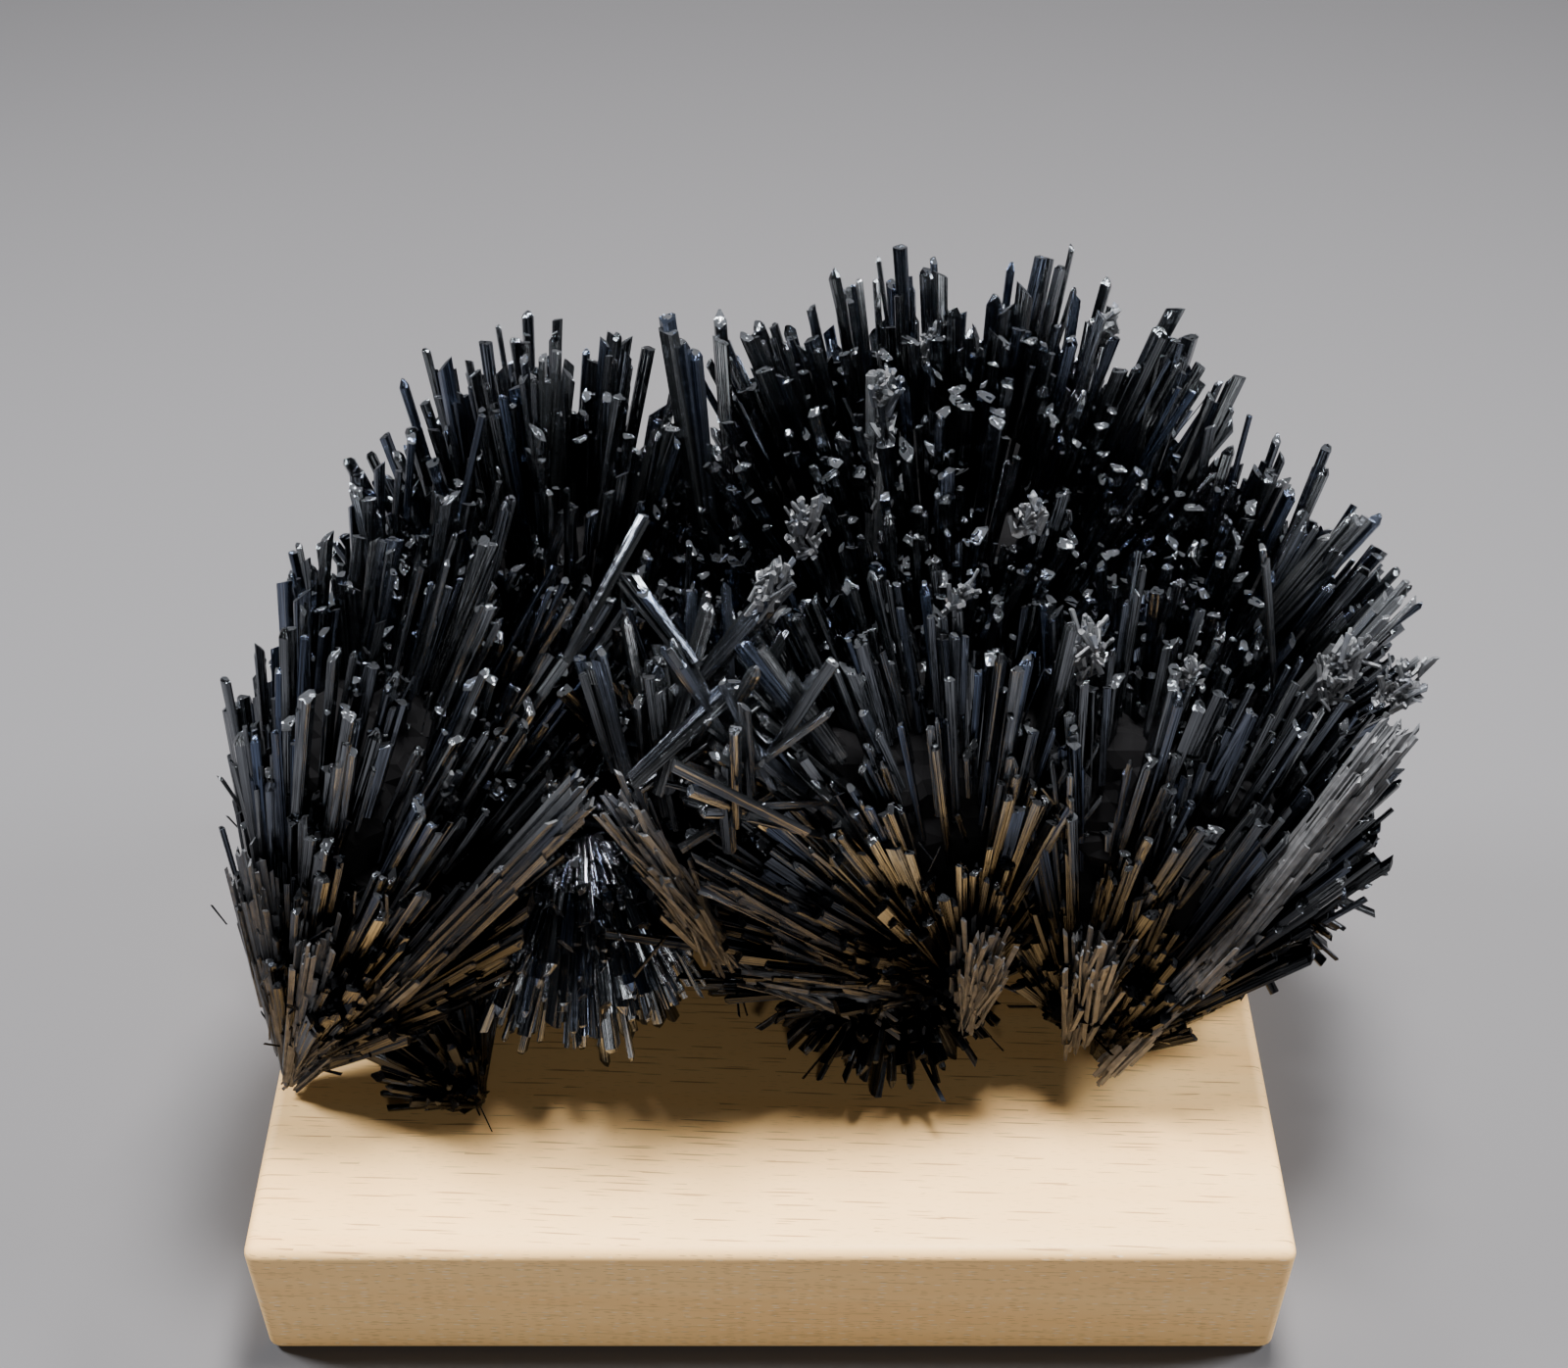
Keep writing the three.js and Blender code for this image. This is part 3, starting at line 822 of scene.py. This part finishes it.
def cloud_group():
    """Adds points inside the inner part of a fan's cone."""
    tree, given, result = new_group("Fill a fan with points", CLOUD_INPUTS)
    sums = Sums(tree)
    seeds = [sums.plus(given["Seed"], float(k)) for k in range(3)]
    direction = cone_direction(tree, given, sums, seeds)
    outer_ones = sums.number("POWER", chance(tree, 0.0, 1.0, seeds[2]), 0.5)
    depth = sums.between(HEART_FROM, 1.0, outer_ones)
    reach = sums.times(distance_to_lobe(given, sums, direction), given["Reach"])
    place = sums.vector("ADD", given["Root"], sums.scaled(direction, sums.times(reach, depth)))
    cloud = add_node(tree, "GeometryNodePoints", {0: given["Bundles"], 1: place}).outputs[0]
    corners = add_node(tree, "GeometryNodePointsToVertices", {0: cloud}).outputs[0]
    corners = stored(tree, corners, "drop", sums.between(SMALLEST_DROP, 1.0, depth))
    tree.links.new(joined_geometry(tree, corners, given["Geometry"]), result[0])
    return tree


MELT_INPUTS = [
    ("Geometry", "Geometry"), ("Drop size", "Float"), ("Voxel", "Float"), ("Material", "Material"),
    ("Lowest corner", "Vector"), ("Highest corner", "Vector"),
]


def melt_group():
    """Melts the points into one closed skin."""
    tree, given, result = new_group("Melt points together", MELT_INPUTS)
    sums = Sums(tree)
    points = add_node(tree, "GeometryNodeMeshToPoints", {"Mesh": given["Geometry"]}).outputs[0]
    radius = sums.times(given["Drop size"], named(tree, "drop"))
    fog = {"Points": points, "Voxel Size": given["Voxel"], "Radius": radius}
    fog = add_node(tree, "GeometryNodePointsToVolume", fog, resolution_mode="VOXEL_SIZE").outputs[0]
    skin = {"Volume": fog, "Threshold": 0.1, "Adaptivity": 0.1}
    skin = add_node(tree, "GeometryNodeVolumeToMesh", skin).outputs[0]
    skin = kept_inside(tree, sums, given, skin)
    tree.links.new(with_material(tree, given, skin), result[0])
    return tree


heart_cloud, heart_melt = cloud_group(), melt_group()
print("groups:", heart_cloud.name, "and", heart_melt.name)

# %% Heart
HEART_REACH = 0.62  # share of the way to the lobe that is grown solid
HEART_SPREAD = 0.66  # share of the fan's own spread
HEART_POINTS, HEART_DROP, HEART_VOXEL = 360, 3.0 * MM, 1.9 * MM
HEART_BEHIND = Vector((0, 4, 2)) * MM  # it keeps behind the needles of the flanks
HEART_SEED = 500
WITHOUT_HEART = ("left_foot", "middle_foot", "left_skirt", "right_hang")
# The heart's near-black, matt colour is painted shade for the gaps between the crystals.
heart_shade_material, _, heart_shade_shader = principled("massive_stibnite")
heart_shade_shader.inputs["Base Color"].default_value = (0.004, 0.004, 0.0045, 1)
heart_shade_shader.inputs["Roughness"].default_value = 0.9
heart_shade_shader.inputs["Specular IOR Level"].default_value = 0.05

heart = empty_piece("massive_heart")
for number, row in enumerate(FANS):
    if row.name in WITHOUT_HEART:
        continue
    behind = -HEART_BEHIND if row.name in ("back_left", "back_right") else HEART_BEHIND
    add_layer(heart, heart_cloud, {
        "Root": at(*row.root) + behind, "Lobe centre": at(*row.lobe) + behind,
        "Lobe radii": Vector(row.radii) * MM, "Axis": Vector(row.axis).normalized(),
        "Inner angle": 0.0, "Outer angle": math.radians(row.spread) * HEART_SPREAD,
        "Bundles": HEART_POINTS, "Reach": HEART_REACH, "Seed": number + HEART_SEED,
    })
add_layer(heart, heart_melt, {
    "Drop size": HEART_DROP, "Voxel": HEART_VOXEL, "Material": heart_shade_material,
    "Lowest corner": spray_low, "Highest corner": spray_high,
})
print("heart:", solid_mesh(heart), "faces")

# %% Plant all the fans
FEWEST_BUNDLES = 8
crystal_pieces = [heart]
for number, row in enumerate(FANS):
    piece = empty_piece(row.name + "_crystals")
    counts = []
    for layer in LAYERS:
        rate = row.flank if layer.name in FLANK_LAYERS else row.crown
        bundles = int(lobe_area(row) / BUNDLE_PITCH**2 * layer.bundles * rate)
        counts.append(max(FEWEST_BUNDLES, bundles))
    total = sum(count * layer.per for count, layer in zip(counts, LAYERS))
    side = math.ceil(math.sqrt(total))
    first = 0
    for place, (count, layer) in enumerate(zip(counts, LAYERS)):
        seed = 40 * number + 13 * place + 7
        add_layer(piece, fan, layer_values(row, layer, count, seed, first, side))
        first += count * layer.per
    faces = solid_mesh(piece)
    crystal_pieces.append(piece)
    print(piece.name, total, "crystals", faces, "faces")

# %% [markdown]
# ## Sheaves and single crystals
# Some crystals don't follow the fans: dense dull sheaves run up their edges like the rib of a feather,
# long blades lie across the hollow in the middle, and a few tall columns stand out of the crowd.
# Each is a row with a line from a start to an end, in millimetres. One group fills the line with crystals that
# run along it, and the same group sows small grains when the crystals are short and turned every way.
# Placing them one by one by hand would give the same look, but a row is quicker to move.

# %% Sheaf group
SHEAF_INPUTS = [
    ("Geometry", "Geometry"), ("Start", "Vector"), ("End", "Vector"),
    ("Start width", "Float"), ("End width", "Float"), ("Count", "Int"),
    ("Shortest", "Float"), ("Longest", "Float"), ("Thinnest", "Float"), ("Thickest", "Float"),
    ("Stray", "Float"), *SHARED_INPUTS,
]


def sheaf_group():
    tree, given, result = new_group("Crystal sheaf", SHEAF_INPUTS)
    sums = Sums(tree)
    seeds = [sums.plus(given["Seed"], float(k)) for k in range(6)]
    cloud = add_node(tree, "GeometryNodePoints", {0: given["Count"]}).outputs[0]
    line = sums.vector("SUBTRACT", given["End"], given["Start"])
    length = sums.between(given["Shortest"], given["Longest"], chance(tree, 0.0, 1.0, seeds[0]))
    part = sums.number("MINIMUM", sums.number("DIVIDE", length, sums.vector("LENGTH", line)), 1.0)
    near = sums.times(sums.minus(1.0, part), chance(tree, 0.0, 1.0, seeds[1]))
    far = sums.plus(near, part)
    beside = sums.vector("NORMALIZE", chance(tree, *EVERY_WAY, seeds[2], "FLOAT_VECTOR"))
    beside = sums.scaled(beside, sums.number("SQRT", chance(tree, 0.0, 1.0, seeds[3])))
    strayed = chance(tree, *EVERY_WAY, seeds[4], "FLOAT_VECTOR")
    strayed = sums.scaled(strayed, sums.times(given["Stray"], length))

    def place(share):
        """A point on the crystal's line, at a share of the way along the sheaf."""
        width = sums.between(given["Start width"], given["End width"], share)
        along = sums.vector("ADD", given["Start"], sums.scaled(line, share))
        return sums.vector("ADD", along, sums.scaled(beside, width))

    thickness = sums.between(given["Thinnest"], given["Thickest"], chance(tree, 0.0, 1.0, seeds[5]))
    tip = sums.vector("ADD", place(far), strayed)
    planted = plant_on(tree, given, cloud, place(near), tip, thickness, near, far)
    tree.links.new(joined_geometry(tree, planted, given["Geometry"]), result[0])
    return tree


sheaf = sheaf_group()
print("group:", sheaf.name, len(sheaf.nodes), "nodes")

# %% Table of sheaves
# Places, widths, lengths and thicknesses are in millimetres. stray, dull and rust are from 0 to about 1.
Sheaf = namedtuple("Sheaf", "start end widths count lengths thick stray dull rust")
SHEAVES = {
    # Dense dull ribs along the fans' edges, and the spread of each root.
    "edge_ribs": (needle_shapes, [
        Sheaf((36, -20, 22.5), (50, -18, 48), (1.5, 2.0), 260, (4, 12), (0.2, 0.42), 0.03, 0.95, 0.3),
        Sheaf((46, -19, 41), (61.5, -13, 70), (1.8, 2.2), 280, (4, 14), (0.2, 0.45), 0.03, 0.95, 0.1),
        Sheaf((-53, -19.5, 20.5), (-36, -21.5, 44), (1.2, 2.4), 130, (8, 24), (0.22, 0.45), 0.03, 0.7, 1.0),
        Sheaf((-44, -21, 32), (-16.5, -20.5, 69.5), (1.6, 2.2), 110, (10, 30), (0.3, 0.6), 0.03, 0.4, 0.9),
        Sheaf((-53, -19, 20.5), (-51.5, -19.5, 58), (1.0, 3.0), 120, (8, 26), (0.22, 0.45), 0.03, 0.6, 0.2),
        Sheaf((-53, -19.5, 20.5), (-45, -22, 50), (1.0, 3.0), 120, (8, 26), (0.22, 0.45), 0.03, 0.8, 0.3),
        Sheaf((-5, -18, 40), (-15, -21, 69), (2.4, 1.6), 190, (4, 12), (0.2, 0.45), 0.14, 0.5, 0.6),
        Sheaf((-5, -18, 40), (18, -16, 30), (2.4, 2.0), 200, (3, 9), (0.2, 0.42), 0.3, 0.6, 0.8),
        Sheaf((21, -16, 30), (-8, -19.5, 59), (1.5, 3.4), 100, (6, 20), (0.2, 0.42), 0.12, 0.35, 0.9),
        Sheaf((21, -16, 30), (0, -19.5, 46), (1.5, 3.4), 100, (5, 16), (0.2, 0.42), 0.12, 0.35, 1.0),
        Sheaf((21, -17, 28), (22.5, -19, 46), (1.8, 3.6), 150, (4, 12), (0.2, 0.4), 0.16, 0.8, 0.2),
        Sheaf((33, -18, 25), (34, -19, 46), (1.8, 3.6), 150, (4, 12), (0.2, 0.4), 0.14, 0.7, 0.3),
    ]),
    # Columns and long crystals that stand out of the crowd.
    "tall_crystals": (stout_shapes, [
        Sheaf((10.5, 0, 66), (11.2, 11, 95), (0.6, 1.3), 9, (16, 28), (0.4, 0.9), 0.02, 0.35, 0.1),
        Sheaf((32, -17, 33), (40.6, -10.5, 74), (0.6, 1.1), 5, (28, 44), (0.4, 0.8), 0.01, 0.1, 0.2),
        Sheaf((-5.5, 9, 62), (-9, 17, 95.5), (0.8, 1.6), 5, (26, 40), (0.7, 1.2), 0.02, 0.1, 0.1),
        Sheaf((-3, 12, 66), (-4.5, 21, 94.5), (0.6, 1.2), 3, (20, 28), (0.6, 0.9), 0.02, 0.0, 0.1),
        Sheaf((8, 16, 66), (3.5, 26, 94.5), (0.2, 0.6), 2, (22, 28), (0.45, 0.7), 0.01, 0.0, 0.1),
        Sheaf((-30, 10, 68), (-32, 15, 92.5), (0.6, 1.4), 6, (16, 26), (0.6, 1.1), 0.02, 0.0, 0.1),
        Sheaf((-24, 12, 68), (-22, 18, 91.5), (0.8, 2.4), 9, (14, 26), (0.5, 1.0), 0.03, 0.1, 0.1),
        Sheaf((-19, 13, 68), (-15, 20, 92), (0.6, 1.5), 6, (16, 26), (0.5, 0.95), 0.02, 0.0, 0.1),
        Sheaf((-17, 12, 64), (-10.5, 14, 87), (0.8, 2.2), 8, (14, 24), (0.5, 0.95), 0.03, 0.1, 0.1),
        Sheaf((-38, 0, 64), (-40.5, 6, 85.5), (0.5, 1.2), 5, (14, 22), (0.5, 1.0), 0.02, 0.0, 0.1),
        Sheaf((36, 12, 66), (42, 22, 94.5), (0.8, 2.2), 9, (16, 30), (0.5, 1.0), 0.03, 0.0, 0.1),
        Sheaf((38, 10, 66), (47, 17, 90), (0.8, 2.0), 8, (14, 26), (0.4, 0.8), 0.03, 0.0, 0.1),
        Sheaf((29, 14, 68), (33, 25, 94), (0.8, 2.0), 6, (16, 28), (0.5, 0.9), 0.03, 0.0, 0.1),
        Sheaf((50, 4, 66), (55.5, 9, 85.5), (0.5, 1.2), 4, (14, 20), (0.5, 0.85), 0.02, 0.0, 0.1),
        Sheaf((47, 2, 62), (59.5, 5, 82), (0.8, 2.2), 8, (14, 22), (0.4, 0.85), 0.03, 0.2, 0.1),
        Sheaf((48, -4, 52), (63, 0, 76), (0.8, 2.2), 8, (16, 26), (0.4, 0.85), 0.03, 0.4, 0.1),
        Sheaf((52, -4, 62), (46, -8, 88), (0.3, 0.8), 3, (20, 28), (0.35, 0.6), 0.02, 0.1, 0.1),
        Sheaf((26, -10, 50), (29, -9, 80), (0.8, 1.6), 7, (18, 28), (0.4, 0.8), 0.02, 0.1, 0.1),
        Sheaf((20, -10, 50), (17, -9, 82), (0.8, 1.6), 7, (18, 28), (0.4, 0.8), 0.02, 0.1, 0.1),
        Sheaf((19, -13, 44), (9, -14, 73), (0.6, 1.2), 6, (18, 28), (0.4, 0.85), 0.02, 0.2, 0.1),
        Sheaf((17, -14, 42), (2, -17, 68), (0.5, 1.0), 5, (14, 26), (0.4, 0.85), 0.02, 0.2, 0.1),
    ]),
    # Blades that lie across the hollow in the middle.
    "crossing_blades": (stout_shapes, [
        Sheaf((-19, -15, 80), (-11.5, -6, 90), (0.4, 0.5), 3, (14, 16), (0.4, 0.6), 0.02, 0.1, 0.1),
        Sheaf((-13, -19, 68), (-2, -14, 77.5), (0.5, 0.8), 4, (12, 15), (0.6, 0.95), 0.02, 0.1, 0.1),
        Sheaf((-6, -15, 78), (-14, -9, 87), (0.6, 0.9), 4, (8, 12), (0.6, 1.0), 0.02, 0.0, 0.1),
        Sheaf((-3, -16, 70), (-9, -14, 82), (0.6, 1.2), 5, (8, 14), (0.5, 0.9), 0.03, 0.1, 0.1),
        Sheaf((5, -17, 62), (-6, -16, 72), (0.8, 1.6), 7, (8, 15), (0.5, 0.95), 0.03, 0.1, 0.1),
        Sheaf((7, -15, 66), (-2, -12, 80), (0.8, 1.6), 7, (8, 16), (0.5, 0.9), 0.03, 0.1, 0.1),
        Sheaf((-4, -19, 58), (-4.5, -17, 70), (0.6, 0.9), 4, (10, 13), (0.5, 0.9), 0.02, 0.2, 0.1),
        Sheaf((-8, -14, 74), (3, -9, 86), (0.8, 1.4), 6, (9, 15), (0.5, 0.95), 0.03, 0.1, 0.1),
        Sheaf((-14, -17, 66), (-17, -13, 79), (0.8, 1.4), 6, (9, 14), (0.5, 0.9), 0.03, 0.1, 0.1),
        Sheaf((-10, -17, 64), (-11, -13, 78), (0.8, 1.6), 6, (9, 14), (0.5, 0.95), 0.03, 0.1, 0.1),
        Sheaf((-8, -14, 62), (-2, -9, 78), (8.0, 7.0), 46, (8, 15), (0.4, 0.9), 0.7, 0.1, 0.1),
        Sheaf((4, -14, 60), (-6, -13, 70), (6.0, 6.0), 34, (7, 13), (0.4, 0.85), 0.6, 0.1, 0.1),
    ]),
    # Sugary grains that crust some of the tips.
    "crusted_tips": (stout_shapes, [
        Sheaf((11, 5, 80), (11.2, 11, 95), (1.5, 1.4), 120, (0.5, 1.6), (0.16, 0.45), 1.2, 0.5, 0.4),
        Sheaf((3.5, -6, 86), (3, -6, 91), (1.8, 1.2), 70, (0.5, 1.5), (0.16, 0.42), 1.2, 0.5, 0.4),
        Sheaf((-1, -10.5, 82), (1, -9, 86), (1.8, 1.5), 80, (0.5, 1.6), (0.16, 0.45), 1.2, 0.5, 0.3),
        Sheaf((30.5, -9, 73), (31, -8, 78), (2.0, 1.5), 90, (0.5, 1.6), (0.16, 0.45), 1.2, 0.6, 0.3),
        Sheaf((55, -8, 68), (57, -7, 75), (2.2, 1.8), 110, (0.5, 1.7), (0.16, 0.45), 1.2, 0.6, 0.4),
        Sheaf((62, -6, 66), (64, -5, 70), (2.0, 1.6), 90, (0.5, 1.6), (0.16, 0.45), 1.2, 0.6, 0.4),
        Sheaf((17, -8, 80), (19, -8, 83), (1.2, 0.9), 40, (0.4, 1.2), (0.2, 0.45), 1.2, 0.5, 0.3),
        Sheaf((24, -6, 88), (25, -5, 91), (1.4, 1.0), 50, (0.4, 1.3), (0.2, 0.5), 1.2, 0.5, 0.3),
        Sheaf((-32, -16, 60), (-31, -16, 66), (1.2, 1.0), 40, (0.4, 1.2), (0.2, 0.45), 1.2, 0.5, 0.3),
        Sheaf((16, 22, 88), (17, 23, 91), (1.2, 1.0), 40, (0.4, 1.2), (0.2, 0.45), 1.2, 0.5, 0.2),
        Sheaf((34, 23, 89), (35, 24, 93), (1.4, 1.0), 50, (0.4, 1.3), (0.2, 0.5), 1.2, 0.5, 0.3),
        Sheaf((40.5, -10.5, 73), (40.6, -10, 75), (1.0, 0.8), 30, (0.4, 1.0), (0.2, 0.4), 1.2, 0.5, 0.3),
    ]),
}

print({name: len(rows) for name, (_, rows) in SHEAVES.items()})

# %% Plant the sheaves
SHEAF_SEED = 900
for number, (name, (shapes, rows)) in enumerate(SHEAVES.items()):
    piece = empty_piece(name)
    side = math.ceil(math.sqrt(sum(row.count for row in rows)))
    first = 0
    for place, row in enumerate(rows):
        seed = SHEAF_SEED + 50 * number + place
        add_layer(piece, sheaf, {
            "Start": at(*row.start), "End": at(*row.end),
            "Start width": row.widths[0] * MM, "End width": row.widths[1] * MM, "Count": row.count,
            "Shortest": row.lengths[0] * MM, "Longest": row.lengths[1] * MM,
            "Thinnest": row.thick[0] * MM, "Thickest": row.thick[1] * MM, "Stray": row.stray,
            **shared_values(row.rust, seed, first, side, shapes, row.dull),
        })
        first += row.count
    print(name, first, "crystals", solid_mesh(piece), "faces")
    crystal_pieces.append(piece)

# %% [markdown]
# ## The wooden block
# The block is a short piece of planed, pale, fine-grained board with its edges eased by sanding.
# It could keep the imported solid, but a light falls across its edges, so it is drawn again in the same box with
# rounder edges. The wood is drawn in the block's own millimetres: soft bands of early and late wood, and the
# cut pores, which are short dark dashes along the grain on the long faces and dots on the sawn ends.

# %% Wood material
WOOD_PALE = (0.94, 0.61, 0.26, 1)
WOOD_WARM = (0.87, 0.50, 0.18, 1)
WOOD_PORE = (0.26, 0.135, 0.055, 1)
WOOD_FLECK = (0.93, 0.80, 0.60, 1)


Dashes = namedtuple("Dashes", "pitch size kept seed")  # pitch and size are (along, across) in millimetres
LONG_PORES = Dashes((9.0, 1.9), (3.4, 0.10), 0.55, 0.0)
MORE_PORES = Dashes((5.0, 1.1), (1.7, 0.075), 0.35, 7.3)
FINE_PORES = Dashes((1.6, 0.5), (0.55, 0.05), 0.5, 3.1)
FLECKS = Dashes((1.9, 0.8), (0.5, 0.09), 0.4, 5.7)
END_PORES = Dashes((0.55, 0.55), (0.11, 0.11), 0.6, 2.0)
SQUARELY = 0.7  # a face whose normal has this much of a direction looks that way


def dashes(tree, sums, along, across, kind):
    """A mask of short dashes, one to a cell, of which a share is kept."""
    pitch, size = kind.pitch, kind.size
    u, v = sums.times(along, 1 / (pitch[0] * MM)), sums.times(across, 1 / (pitch[1] * MM))
    place = sums.joined(u, v, kind.seed)
    feeds = {"Vector": place, "Scale": 1.0, "Randomness": 1.0}
    cells = add_node(tree, "ShaderNodeTexVoronoi", feeds, voronoi_dimensions="3D")
    offset = sums.vector("SUBTRACT", place, cells.outputs["Position"])
    offset = sums.vector("MULTIPLY", offset, (pitch[0] / size[0], pitch[1] / size[1], 0))
    near = sums.clamped_map(sums.vector("LENGTH", offset), 0.55, 1.0, 1.0, 0.0)
    lot = add_node(tree, "ShaderNodeSeparateColor", {0: cells.outputs["Color"]}).outputs[0]
    return sums.times(near, sums.number("LESS_THAN", lot, kind.kept))


def wood_material():
    material, tree, shader = principled("pale_planed_wood")
    sums = Sums(tree)
    coordinates = add_node(tree, "ShaderNodeTexCoord")
    place, facing = coordinates.outputs["Object"], coordinates.outputs["Normal"]
    x, y, z = sums.split(place)
    nx, _, nz = sums.split(facing)
    on_end = sums.number("GREATER_THAN", sums.number("ABSOLUTE", nx), SQUARELY)
    on_top = sums.number("GREATER_THAN", sums.number("ABSOLUTE", nz), SQUARELY)

    # Across the grain is y on the top and z on the sides. The grain leans and wanders a little.
    across = sums.plus(sums.times(y, on_top), sums.times(z, sums.minus(1.0, on_top)))
    wander = noise_of(tree, sums.vector("MULTIPLY", place, (14, 60, 60)), 1.0, 2.0)
    across = sums.plus(across, sums.plus(sums.times(x, 0.035), sums.times(wander, 0.0022)))

    streaks = sums.joined(sums.times(x, 5.0), sums.times(across, 170.0), 0.0)
    bands = noise_of(tree, streaks, 1.0, 3.0, 0.6)
    cloudy = noise_of(tree, sums.vector("MULTIPLY", place, (16, 40, 40)), 1.0, 2.0)
    shade = sums.plus(sums.times(bands, 0.75), sums.times(cloudy, 0.35))
    colour = mixed(tree, sums.clamped_map(shade, 0.38, 0.78), WOOD_PALE, WOOD_WARM)

    long_pores, more_pores, fine_pores, flecks = (
        dashes(tree, sums, x, across, kind) for kind in (LONG_PORES, MORE_PORES, FINE_PORES, FLECKS)
    )
    end_pores = dashes(tree, sums, y, z, END_PORES)
    rings = noise_of(tree, sums.joined(sums.times(y, 30.0), sums.times(z, 420.0), 0.0), 1.0, 3.0)

    sides = sums.times(sums.minus(1.0, on_top), sums.minus(1.0, on_end))
    pores = sums.number("MAXIMUM", long_pores, sums.times(more_pores, 0.75))
    pores = sums.times(pores, sums.between(1.0, 0.45, sides))
    ticks = sums.times(fine_pores, sums.between(0.28, 0.85, sides))
    pores = sums.number("MAXIMUM", pores, ticks)
    pores = sums.between(pores, sums.times(end_pores, 0.6), on_end)
    ringed = sums.times(sums.times(sums.clamped_map(rings, 0.45, 0.6), on_end), 0.45)
    colour = mixed(tree, sums.times(sums.times(flecks, sides), 0.55), colour, WOOD_FLECK)
    colour = mixed(tree, ringed, colour, WOOD_WARM)
    colour = mixed(tree, sums.times(pores, 0.72), colour, WOOD_PORE)
    tree.links.new(colour, shader.inputs["Base Color"])
    rough = sums.clamped_map(sums.plus(bands, pores), 0.2, 1.4, 0.46, 0.72)
    tree.links.new(rough, shader.inputs["Roughness"])
    shader.inputs["Specular IOR Level"].default_value = 0.35
    bump = add_node(tree, "ShaderNodeBump", {"Strength": 0.5, "Distance": 0.00004, "Height": bands})
    tree.links.new(bump.outputs[0], shader.inputs["Normal"])
    return material


wood = wood_material()
print("material:", wood.name, len(wood.node_tree.nodes), "nodes")

# %% Planed block
EDGE_ROUNDING = 1.5 * MM
EDGE_STEPS = 5
EDGE_FULLNESS = 0.55  # 0.5 is a quarter round


def planed_block():
    """A box in the block's place, with rounded edges."""
    shell = bmesh.new()
    bmesh.ops.create_cube(shell, size=1)
    size = block_high - block_low
    middle = (block_low + block_high) / 2
    for corner in shell.verts:
        corner.co = Vector((corner.co[k] * size[k] for k in range(3))) + middle
    bmesh.ops.bevel(
        shell, geom=list(shell.edges), offset=EDGE_ROUNDING, segments=EDGE_STEPS,
        profile=EDGE_FULLNESS, affect="EDGES",
    )
    mesh = bpy.data.meshes.new("planed_block")
    shell.to_mesh(mesh)
    shell.free()
    for face in mesh.polygons:
        face.use_smooth = True
    block = bpy.data.objects.new("planed_block", mesh)
    bpy.context.scene.collection.objects.link(block)
    mesh.materials.append(wood)
    return block


block = planed_block()
bent = block.modifiers.new("flat faces stay flat", "WEIGHTED_NORMAL")
bent.keep_sharp = True
solid_mesh(block)
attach(block, "root")
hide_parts("display_block")
print("block:", len(block.data.polygons), "faces")

# %% [markdown]
# Every visible piece rides on the one body, and the imported solid that it stands for is hidden.
# The floor is only a stage for the lights. Its paper is a mid grey, because the lamps are strong enough to
# make it look pale.

# %% Finish
for piece in crystal_pieces:
    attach(piece, "root")
    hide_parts("stibnite_spray")

FLOOR_SIZE = 6  # metres
bpy.ops.mesh.primitive_plane_add(size=FLOOR_SIZE)
floor = bpy.context.object
floor.name = "studio_floor"
floor.location.z = block_low.z
floor_material, _, floor_shader = principled("pale_paper")
floor_shader.inputs["Base Color"].default_value = (0.118, 0.116, 0.122, 1)
floor_shader.inputs["Roughness"].default_value = 0.9
floor_shader.inputs["Specular IOR Level"].default_value = 0.1
floor.data.materials.append(floor_material)

triangles = {o.name: sum(len(f.vertices) - 2 for f in o.data.polygons) for o in crystal_pieces}
print("most triangles in a piece:", max(triangles.values()), "in all:", sum(triangles.values()))
